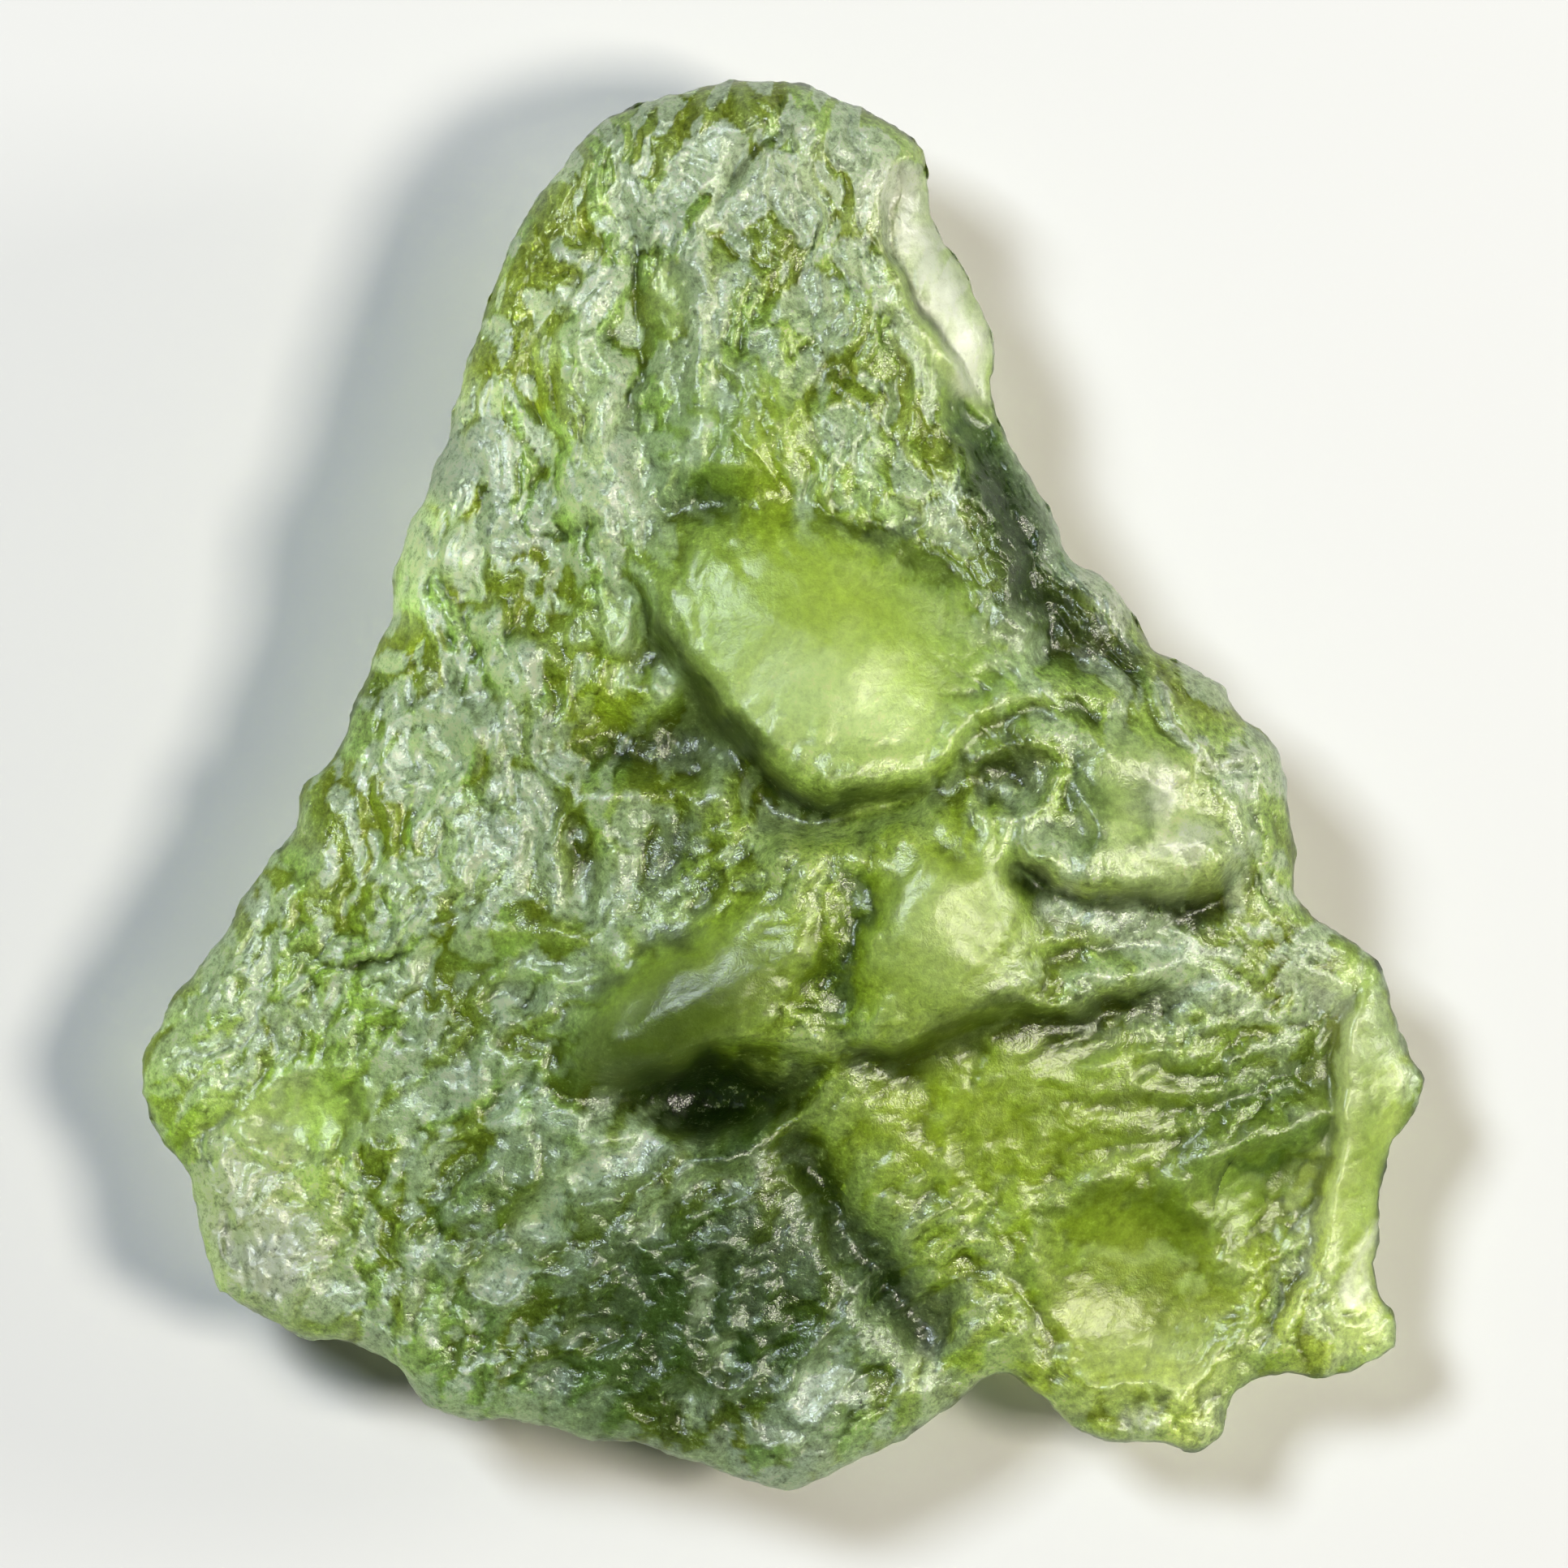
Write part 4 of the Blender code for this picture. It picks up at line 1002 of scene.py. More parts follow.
@dataclass(frozen=True)
class Tints:
    """Tones of the face, from broad to small, with painted shade, highlights and sheen among them.

    Attributes:
        warmth: How yellow the glass looks at given points, 0 for cool and 1 for warm.
        reach: Reach of a warmth guide.
        marks: Patches and stripes of colour, painted shade, painted light and painted highlights, in the
            order in which they are laid on.
        jitter: How far a facet shifts the marks on it.
        cavities: Painted shade in places that lie lower than their surroundings, and a painted glow on
            crests, from broad to fine.
        pools: Cells of ground, of which the marked ones show the olive of the body.
        pool_share: Share of the olive tone in them.
        floor_share: Share of the olive tone low in a pit.
        pit_share: Share of the painted soft shade on the floor of a pit.
        pit_scale: Turns millimetres of height in the pitting into parts of its range.
        smooth_floor: Share of the floor's tones that smooth places keep.
        floor_top: Height in the pitting under which the olive tone starts.
        crest_foot: Height in the pitting over which the painted sheen starts.
        pit_edge: Height over which either gets its full share.
        warm_loss: Share of the painted sheen that the warmest glass loses.
        crest_share: Share of the painted sheen on a crest, where the glass is cool.
        facet_share: Share of the painted sheen on a lit facet, where the glass is cool.
    """

    warmth: Guides = (
        (-3.0, 13.5, 0.3), (1.0, 13.0, 0.35), (-5.5, 9.0, 0.1), (0.0, 9.5, 0.5), (3.0, 10.0, 0.6),
        (-7.0, 5.0, 0.1), (-3.5, 7.0, 0.25), (1.0, 3.5, 1.0), (5.5, 5.0, 0.2), (-8.0, 0.5, 0.1),
        (-3.5, 1.5, 0.4), (8.0, 0.0, 0.6), (-11.0, -4.5, 0.35), (-6.5, -3.0, 0.3), (-2.0, -5.0, 0.9),
        (3.2, -3.2, 1.0), (7.5, -3.5, 0.35), (-11.0, -7.6, 0.85), (-7.5, -8.0, 0.15), (-11.5, -10.5, 0.4),
        (-4.0, -10.0, 0.05), (-1.0, -13.0, 0.05), (5.0, -7.5, 1.0), (9.5, -7.0, 0.95), (4.0, -11.0, 0.85),
        (8.0, -11.5, 0.9), (12.5, -9.0, 0.8), (13.0, -5.5, 0.4))
    reach: float = 2.0
    marks: tuple[Patch | Stripe, ...] = (
        # painted shade on the wall and along the edge round the big smooth lump, and a painted pool of
        # light on it
        Stripe(Tone.DEEP, 0.9, 0.5, (
            (-3.1, 4.3), (-2.5, 2.9), (-1.75, 1.95), (-1.15, 1.1), (-0.3, 0.3), (0.6, -0.15), (1.7, -0.4),
            (2.8, -0.1))),
        Stripe(Tone.DEEP, 0.5, 0.32, (
            (-3.1, 5.2), (-1.9, 6.0), (-0.2, 6.15), (1.4, 6.0), (2.9, 5.2), (4.2, 4.2))),
        Patch(Tone.DUSK, 0.6, -2.0, 6.4, 0.9, 0.6, 10.0),
        Patch(Tone.GLOW, 0.95, 1.3, 1.8, 2.6, 1.15, -22.0),
        # ground on the left of it: painted shade in its hollows, and a warm patch
        Patch(Tone.DEEP, 0.75, -2.9, 0.85, 1.7, 0.85, -8.0),
        Patch(Tone.DEEP, 0.65, -2.5, -1.5, 0.8, 0.6, 60.0),
        Patch(Tone.DEEP, 0.55, -4.6, -1.8, 0.9, 0.35, 95.0),
        Patch(Tone.WARM, 0.6, -4.1, 2.1, 1.0, 0.6, 90.0),
        # finger-like lump in moss green, and painted shade in the pit under it and below that
        Patch(Tone.MOSS, 0.9, -2.3, -5.2, 2.8, 1.1, 24.0),
        Patch(Tone.DEEP, 0.95, -1.7, -6.85, 2.5, 0.95, 0.0),
        Patch(Tone.DEEP, 1.0, -1.6, -6.95, 2.2, 0.8, 0.0),
        Patch(Tone.DUSK, 0.8, -1.2, -8.1, 1.2, 0.5, 8.0),
        # middle mass: painted shade in its groove and under its step, and painted highlights on its ridge
        # and top
        Stripe(Tone.DUSK, 0.5, 0.5, ((1.9, -1.7), (1.45, -3.0), (1.05, -4.3), (0.8, -5.6))),
        Stripe(Tone.GLOW, 0.75, 0.3, ((-0.45, -1.35), (1.2, -0.95), (3.4, -0.6))),
        Patch(Tone.GLOW, 0.45, 3.3, -3.3, 1.3, 0.9, 60.0),
        Stripe(Tone.GLOW, 0.6, 0.2, ((4.75, -1.5), (4.7, -2.6))),
        Stripe(Tone.DEEP, 0.85, 0.32, (
            (0.9, -5.75), (2.0, -6.1), (3.0, -6.25), (3.9, -5.4), (5.0, -5.3), (6.4, -5.15), (7.5, -4.9),
            (8.9, -4.2))),
        # striped lump: painted pools of light and highlights on it, painted shade in its stripes, beside it
        # and at its foot, and painted sheen on the bands below
        Patch(Tone.GLOW, 1.0, 8.5, -0.7, 1.5, 1.3, 100.0),
        Patch(Tone.FROST, 0.7, 8.2, -0.1, 0.8, 0.5, 95.0), Patch(Tone.FROST, 0.7, 8.9, -1.4, 0.8, 0.4, 5.0),
        Stripe(Tone.DUSK, 0.6, 0.22, ((6.4, 0.9), (6.9, -0.2), (7.0, -1.6))),
        Stripe(Tone.DUSK, 0.5, 0.2, ((7.5, 0.9), (7.8, -0.3), (7.9, -1.9))),
        Stripe(Tone.DEEP, 0.75, 0.35, ((3.8, 0.1), (4.7, 0.45), (5.9, 0.5))),
        Stripe(Tone.DEEP, 0.85, 0.4, ((4.9, -1.5), (5.9, -2.2), (7.2, -2.75), (8.8, -2.9), (10.0, -2.2))),
        Stripe(Tone.SHEEN, 0.6, 0.35, ((5.4, -2.6), (6.5, -3.1), (8.0, -3.4), (9.6, -3.7))),
        Stripe(Tone.SHEEN, 0.5, 0.25, ((6.0, -4.5), (7.0, -4.35), (8.0, -4.1))),
        Stripe(Tone.FROST, 0.9, 0.14, ((8.45, 2.75), (8.8, 1.9), (9.35, 0.85), (10.0, 0.65), (11.0, 0.6))),
        # painted shade over the steep upper right slope, and a painted highlight on its granular rim
        Stripe(Tone.DEEP, 0.75, 0.6, (
            (3.7, 8.2), (4.5, 6.9), (4.9, 5.5), (5.5, 4.2), (6.4, 3.3), (8.4, 2.3))),
        Patch(Tone.DUSK, 0.8, 5.3, 5.9, 2.4, 1.1, 115.0),
        Patch(Tone.DEEP, 0.65, 4.9, 6.1, 2.0, 0.75, 115.0),
        Patch(Tone.DEEP, 0.6, 6.4, 3.7, 1.6, 0.6, 135.0),
        Stripe(Tone.FROST, 0.7, 0.25, ((6.5, 5.05), (7.4, 4.3), (8.1, 3.4))),
        # painted highlight on the glossy chip on the upper right rim, and painted soft shade under it
        Stripe(Tone.FROST, 1.0, 0.55, ((2.75, 14.3), (2.95, 12.6), (3.6, 11.3), (4.2, 10.2), (4.3, 8.7))),
        Patch(Tone.DUSK, 0.6, 4.1, 8.3, 1.0, 0.6, 110.0),
        # plain on the lower right: painted shade along its ripples, in small pits and in the scallop's
        # arcs, olive patches, painted light in the scallop and painted highlights on the rims
        Stripe(Tone.DEEP, 0.55, 0.16, ((5.6, -7.2), (6.6, -7.0), (8.0, -7.1), (9.6, -6.6))),
        Stripe(Tone.DEEP, 0.45, 0.14, ((6.4, -8.1), (7.8, -7.9), (9.3, -7.5), (10.8, -7.2))),
        Stripe(Tone.DEEP, 0.4, 0.14, ((3.5, -8.8), (3.6, -9.5), (4.2, -10.2))),
        Patch(Tone.DEEP, 0.6, 2.7, -7.6, 0.16, 0.12, 0.0),
        Patch(Tone.DEEP, 0.6, 3.8, -7.75, 0.14, 0.12, 0.0),
        Patch(Tone.DUSK, 0.6, 10.3, -7.6, 2.6, 1.7, 20.0),
        Patch(Tone.OLIVE, 0.45, 5.2, -7.4, 4.0, 1.9, 5.0),
        Patch(Tone.OLIVE, 0.5, 7.9, -11.5, 2.6, 2.2, -20.0),
        Patch(Tone.GLOW, 0.3, 8.3, -12.9, 1.9, 0.8, -15.0),
        Stripe(Tone.MOSS, 0.6, 0.22, ((5.5, -10.6), (6.3, -9.7), (7.9, -9.3), (9.5, -9.7), (10.3, -10.8))),
        Stripe(Tone.GLOW, 0.5, 0.12, ((6.6, -10.9), (7.7, -10.4), (8.9, -10.8), (9.5, -11.8))),
        Stripe(Tone.MOSS, 0.4, 0.12, ((6.9, -11.5), (7.8, -11.0), (8.6, -11.4), (9.0, -12.3))),
        Stripe(Tone.FROST, 0.7, 0.2, ((7.2, -14.5), (7.9, -14.75), (8.6, -14.7))),
        Stripe(Tone.FROST, 0.6, 0.2, ((13.35, -10.1), (13.2, -11.6))),
        # painted shade in the diagonal groove and over the lobe on its left
        Stripe(Tone.DEEP, 0.8, 0.75, ((0.0, -7.6), (1.0, -9.3), (2.1, -10.9), (2.9, -12.1), (3.5, -13.3))),
        Patch(Tone.DUSK, 0.85, -2.2, -12.0, 4.4, 3.4, 5.0),
        Patch(Tone.DEEP, 0.35, -1.6, -12.0, 3.4, 3.0, 5.0),
        Patch(Tone.DUSK, 0.45, -6.5, -9.6, 2.0, 1.4, 40.0),
        # painted pool of light and highlights at the left lower edge, and small marks of painted shade
        Patch(Tone.GLOW, 0.5, -10.7, -7.5, 1.4, 0.7, 15.0),
        Patch(Tone.GLOW, 0.9, -11.5, -9.7, 1.9, 1.4, 110.0),
        Patch(Tone.FROST, 0.95, -12.0, -10.3, 1.7, 1.1, 115.0),
        Patch(Tone.FROST, 0.9, -11.3, -11.3, 0.4, 0.3, 0.0),
        Stripe(Tone.DEEP, 0.7, 0.16, ((-10.1, -4.2), (-9.3, -3.9), (-8.6, -3.8))),
        Patch(Tone.DEEP, 0.6, -12.4, -10.2, 0.7, 0.2, 105.0),
        Stripe(Tone.DEEP, 0.6, 0.13, ((-8.7, 1.5), (-8.1, 2.1), (-7.4, 1.9), (-7.2, 1.2))),
        # upper lobe: a painted glow, a warm patch, painted shade in a furrow and painted sheen along the
        # left rim
        Patch(Tone.GLOW, 0.6, -2.65, 10.9, 0.95, 0.4, 90.0),
        Patch(Tone.WARM, 0.7, -0.3, 6.8, 1.9, 1.1, 80.0),
        Stripe(Tone.DEEP, 0.7, 0.15, ((-1.5, 13.5), (-0.8, 14.3), (0.2, 14.8))),
        Stripe(Tone.SHEEN, 0.7, 0.35, ((-7.3, 9.2), (-8.0, 6.8), (-8.9, 4.2))),
        # painted cool sheens on single lumps and on the ground
        Patch(Tone.SHEEN, 0.85, -7.3, 5.4, 0.5, 0.5, 0.0),
        Patch(Tone.SHEEN, 0.8, -6.8, 3.6, 0.45, 0.4, 0.0),
        Patch(Tone.SHEEN, 0.8, -5.8, 2.7, 0.5, 0.4, 30.0),
        Patch(Tone.SHEEN, 0.8, -4.6, 6.4, 0.35, 0.5, 0.0),
        Patch(Tone.SHEEN, 0.8, -3.7, 6.4, 0.3, 0.45, 0.0), Patch(Tone.SHEEN, 0.7, -3.9, 5.5, 0.3, 0.4, 0.0),
        Patch(Tone.SHEEN, 0.8, -2.3, 7.5, 0.3, 0.55, 0.0), Patch(Tone.SHEEN, 0.8, -1.6, 8.7, 0.3, 0.5, 0.0),
        Patch(Tone.SHEEN, 0.8, -3.7, 3.6, 0.4, 0.4, 0.0), Patch(Tone.SHEEN, 0.8, -2.9, 2.3, 0.3, 0.4, 0.0),
        Patch(Tone.SHEEN, 0.8, -5.2, 1.5, 0.4, 0.35, 0.0), Patch(Tone.SHEEN, 0.7, -5.0, 0.8, 0.3, 0.3, 0.0),
        Patch(Tone.SHEEN, 0.7, 0.4, 6.4, 0.25, 0.8, 12.0), Patch(Tone.SHEEN, 0.7, 1.2, 7.6, 0.2, 0.6, 8.0),
        Patch(Tone.SHEEN, 0.7, 2.1, 7.7, 0.2, 0.6, 8.0),
        Stripe(Tone.SHEEN, 0.75, 0.25, ((-5.6, 0.0), (-5.4, -1.6), (-5.2, -3.1))),
        Patch(Tone.SHEEN, 0.7, -3.7, -2.4, 0.6, 0.8, 0.0),
        Patch(Tone.SHEEN, 0.7, -6.9, -1.4, 0.9, 1.1, 20.0),
        Patch(Tone.SHEEN, 0.95, -5.5, -9.6, 0.6, 0.5, 50.0),
        Patch(Tone.SHEEN, 0.95, -6.2, -10.9, 0.6, 0.45, 50.0),
        Stripe(Tone.SHEEN, 0.95, 0.34, ((-5.0, -9.0), (-3.8, -8.4), (-2.5, -7.85))),
        Patch(Tone.SHEEN, 0.95, -2.8, -9.6, 0.6, 0.4, 70.0),
        Patch(Tone.SHEEN, 0.8, -1.7, -11.5, 0.55, 0.25, 90.0),
        Patch(Tone.SHEEN, 0.8, -1.2, -12.7, 0.4, 0.25, 80.0),
        Stripe(Tone.SHEEN, 0.75, 0.22, ((1.4, -12.2), (0.9, -13.3), (0.2, -14.6))),
        Patch(Tone.SHEEN, 0.7, -2.3, -13.8, 0.45, 0.3, 90.0),
        Patch(Tone.SHEEN, 0.7, -7.6, -6.3, 0.5, 0.25, 45.0),
        Patch(Tone.SHEEN, 0.7, -6.2, -6.8, 0.6, 0.25, 45.0),
    )
    jitter: float = 0.25
    cavities: tuple[CavityShade, ...] = (CavityShade(130, 0.5, 0.85, 0.3), CavityShade(10, 0.08, 0.65, 0.25))
    pools: Facets = Facets(1.7, 1.4, 0.0, 17, 0.0, 0.55)
    pool_share: float = 0.95
    floor_share: float = 0.85
    pit_share: float = 0.6
    pit_scale: float = 1.6
    smooth_floor: float = 0.3
    floor_top: float = 0.55
    crest_foot: float = 0.5
    pit_edge: float = 0.4
    warm_loss: float = 0.8
    crest_share: float = 0.75
    facet_share: float = 0.95

    def surroundings(self, height: Array, passes: int) -> Array:
        """Height of the surroundings, each pass taking the mean of a grid point and its four neighbours.

        Args:
            height: Height on the grid.
            passes: Number of passes.

        Returns:
            The smoothed height on the grid.
        """
        for _ in range(passes):
            wide = np.pad(height, 1, mode="edge")
            height = (wide[1:-1, 1:-1] + wide[:-2, 1:-1] + wide[2:, 1:-1] + wide[1:-1, :-2]
                      + wide[1:-1, 2:]) / 5.0
        return height

    def colours(self, x: Array, y: Array, height: Array, pits: Array, etch: Array,
                sheen: Array, jitter: Array) -> Array:
        """Colour of each point of the face, with painted shade, highlights and sheen.

        The tone runs from cool to warm. Places lower than their surroundings get painted shade and higher
        ones a painted glow. Pits turn to olive and painted soft shade, some cells of cool ground to olive,
        and crests and lit facets take painted sheen. The marks, colour and painted light and shade, are
        laid on last.

        Args:
            x: Places along X.
            y: Places along Y.
            height: Height, as a grid.
            pits: Height in the pitting, 0 to 1.
            etch: How etched each place is.
            sheen: Painted sheen of the facets.
            jitter: Random value of each facet, from -0.5 to 0.5, which breaks the edges of marks.

        Returns:
            Linear colours, one row each.
        """
        tone = {name: np.array(linear(name.value)[:3]) for name in Tone}
        warmth = blend(x, y, self.warmth, self.reach)
        colour = np.ones((x.size, 3)) * tone[Tone.COOL]
        bent_x, bent_y = warp(x, y)

        def lay(name: Tone, cover: Array) -> None:
            """Mix a tone in by its cover."""
            colour[:] += (tone[name] - colour) * np.clip(cover, 0.0, 1.0)[:, None]

        lay(Tone.WARM, warmth)
        # painted shade in hollows and a painted glow on crests
        for cavity in self.cavities:
            below = (self.surroundings(height, cavity.passes) - height).ravel()
            lay(Tone.DEEP, cavity.share * ease(below / cavity.depth))
            lay(Tone.GLOW, cavity.crest * ease(-below / cavity.depth))
        # olive, and painted soft shade, on the floors of pits
        kept = self.smooth_floor + (1.0 - self.smooth_floor) * etch
        floor = ease((self.floor_top - pits) / self.pit_edge) * kept
        lay(Tone.OLIVE, self.floor_share * floor)
        lay(Tone.DUSK, self.pit_share * floor ** 3)
        pool = self.pools.field(bent_x, bent_y, FLOW)[1]
        lay(Tone.OLIVE, self.pool_share * pool * (1.0 - warmth) * etch)
        cool = 1.0 - self.warm_loss * warmth
        # painted sheen on crests and on lit facets
        lay(Tone.SHEEN, self.crest_share * ease((pits - self.crest_foot) / self.pit_edge) * etch * cool)
        lay(Tone.SHEEN, self.facet_share * sheen * cool)
        # marks of colour and of painted shade, light and highlights
        for mark in self.marks:
            lay(mark.tone, mark.cover(bent_x + self.jitter * jitter, bent_y + self.jitter * jitter))
        return colour


def linear(code: str) -> tuple[float, float, float, float]:
    """Turn an sRGB hex value into a linear colour.

    Args:
        code: Six hex digits with a leading #.

    Returns:
        Red, green, blue and alpha, linear.
    """
    parts = [int(code[i:i + 2], 16) / 255.0 for i in (1, 3, 5)]
    red, green, blue = [p / 12.92 if p <= 0.04045 else ((p + 0.055) / 1.055) ** 2.4 for p in parts]
    return red, green, blue, 1.0


def add_node(tree: bpy.types.NodeTree, kind: str, settings: dict[str | int, object] | None = None,
             links: dict[str | int, bpy.types.NodeSocket] | None = None) -> bpy.types.Node:
    """Add a node with its settings and links.

    Args:
        tree: Node tree that takes the node.
        kind: Blender's name for the node's type.
        settings: Values by name, each for the node's own setting of that name, else for its input.
        links: Output sockets by the name or number of the input that each feeds.

    Returns:
        The node.
    """
    node = tree.nodes.new(kind)
    for name, value in (settings or {}).items():
        if isinstance(name, str) and hasattr(node, name):
            setattr(node, name, value)
        else:
            node.inputs[name].default_value = value
    for name, source in (links or {}).items():
        tree.links.new(source, node.inputs[name])
    return node


def per_metre(size: float) -> float:
    """Scale of a texture on metres whose cells measure a size in millimetres."""
    return 1.0 / (size * MM)


@dataclass(frozen=True)
class TektiteGlass:
    """Natural tektite glass, quenched from melt and etched by the soil it lay in.

    Clear olive green inside, so deep places go dark and thin ones glow yellow-green. The smooth lumps are
    satin, and the etched ground has a fine grain whose tiny faces catch the light and whose tops take
    painted glints.

    Attributes:
        ior: Index of refraction of moldavite, 1.48 to 1.50.
        transmission: Share of the light that the surface lets in; the rest is the bloom of etching.
        back: Tint of the back.
        body_colour: Colour that the glass takes over its density.
        body_density: Absorption per metre.
        gloss: Roughness of smooth lumps, which show a broad soft pool of light.
        satin: Roughness of the etched ground's tiny faces, which glint.
        grain: Size of the coarsest etched grain; each finer octave halves it.
        grain_depth: Depth of the etched grain.
        smooth_contrast: How much the grain changes the tint on smooth lumps.
        etched_contrast: How much it does on etched ground.
        glint: Painted glint: white that the highest grains add to the colour there.
        octaves: Finer layers of grain over the coarsest.
        fineness: How strong each finer layer is against the one before.
        glint_start: Height in the grain, 0 to 1, at which the painted glint starts.
        glint_full: Height in the grain at which it is all there.
        smooth_depth: Share of the grain's depth that smooth lumps have.
    """

    ior: float = 1.49
    transmission: float = 0.86
    back: str = "#f0f4dc"
    body_colour: tuple[float, float, float] = (0.68, 0.80, 0.12)
    body_density: float = 100.0
    gloss: float = 0.42
    satin: float = 0.31
    grain: float = 0.24
    grain_depth: float = 0.04
    smooth_contrast: float = 0.9
    etched_contrast: float = 3.4
    glint: float = 0.5
    octaves: float = 3.0
    fineness: float = 0.85
    glint_start: float = 0.6
    glint_full: float = 0.75
    smooth_depth: float = 0.35

    def material(self) -> bpy.types.Material:
        """Build the node material.

        Returns:
            The material, which reads Object coordinates, the stone's own etch values and its colours with
            painted shade, highlights and sheen.
        """
        glass = bpy.data.materials.new(GLASS_SLOT)
        glass.use_nodes = True
        tree = glass.node_tree
        tree.nodes.clear()
        place = add_node(tree, "ShaderNodeTexCoord").outputs["Object"]
        etch = add_node(tree, "ShaderNodeAttribute", {"attribute_name": "etch"}).outputs["Fac"]
        # the face's colours, with painted shade, highlights and sheen in them
        tint_and_painted_light = add_node(tree, "ShaderNodeAttribute", {"attribute_name": "tint_and_painted_light"}).outputs["Vector"]
        grain = add_node(tree, "ShaderNodeTexNoise",
                         {"Scale": per_metre(self.grain), "Detail": self.octaves,
                          "Roughness": self.fineness},
                         {"Vector": place}).outputs["Fac"]
        level = add_node(tree, "ShaderNodeMath", {"operation": "SUBTRACT", 1: 0.5}, {0: grain})
        contrast = add_node(tree, "ShaderNodeMapRange",
                            {"To Min": self.smooth_contrast, "To Max": self.etched_contrast},
                            {"Value": etch})
        shade = add_node(tree, "ShaderNodeMath", {"operation": "MULTIPLY_ADD", 2: 1.0},
                         {0: level.outputs["Value"], 1: contrast.outputs["Result"]})
        # painted glints: white added to the colour on the tops of the grain of etched ground
        glint = add_node(tree, "ShaderNodeMapRange",
                         {"From Min": self.glint_start, "From Max": self.glint_full,
                          "To Min": 0.0, "To Max": self.glint},
                         {"Value": grain})
        crest = add_node(tree, "ShaderNodeMath", {"operation": "MULTIPLY"},
                         {0: glint.outputs["Result"], 1: etch})
        grained = add_node(tree, "ShaderNodeVectorMath", {"operation": "MULTIPLY_ADD"},
                           {0: tint_and_painted_light, 1: shade.outputs["Value"], 2: crest.outputs["Value"]})
        limited = add_node(tree, "ShaderNodeVectorMath", {"operation": "MINIMUM", 1: (1.0, 1.0, 1.0)},
                           {0: grained.outputs["Vector"]})
        worn = add_node(tree, "ShaderNodeMapRange", {"To Min": self.gloss, "To Max": self.satin},
                        {"Value": etch})
        depth = add_node(tree, "ShaderNodeMapRange", {"To Min": self.smooth_depth, "To Max": 1.0},
                         {"Value": etch})
        bump = add_node(tree, "ShaderNodeBump", {"Distance": self.grain_depth * MM},
                        {"Height": grain, "Strength": depth.outputs["Result"]})
        surface = add_node(tree, "ShaderNodeBsdfPrincipled",
                           {"IOR": self.ior, "Transmission Weight": self.transmission},
                           {"Base Color": limited.outputs["Vector"], "Roughness": worn.outputs["Result"],
                            "Normal": bump.outputs["Normal"]})
        body = add_node(tree, "ShaderNodeVolumeAbsorption",
                        {"Color": (*self.body_colour, 1.0), "Density": self.body_density})
        add_node(tree, "ShaderNodeOutputMaterial", {},
                 {"Surface": surface.outputs["BSDF"], "Volume": body.outputs["Volume"]})
        return glass


@dataclass(frozen=True)
class FloorPaint:
    """Matt off-white paint on a board: a plain pale surface with no gloss to speak of.

    Attributes:
        colour: Its colour, which the lights bring up to a pale off-white.
        roughness: Roughness of matt paint.
        specular: Specular level, so low that no light glares off the floor in a view from the side.
    """

    colour: str = "#a3a29f"
    roughness: float = 0.9
    specular: float = 0.05

    def material(self) -> bpy.types.Material:
        """Build the paint, one even colour.

        Returns:
            The material.
        """
        paint = bpy.data.materials.new("matt_white_paint")
        paint.use_nodes = True
        tree = paint.node_tree
        shader = tree.nodes["Principled BSDF"]
        shader.inputs["Base Color"].default_value = linear(self.colour)
        shader.inputs["Roughness"].default_value = self.roughness
        shader.inputs["Specular IOR Level"].default_value = self.specular
        return paint


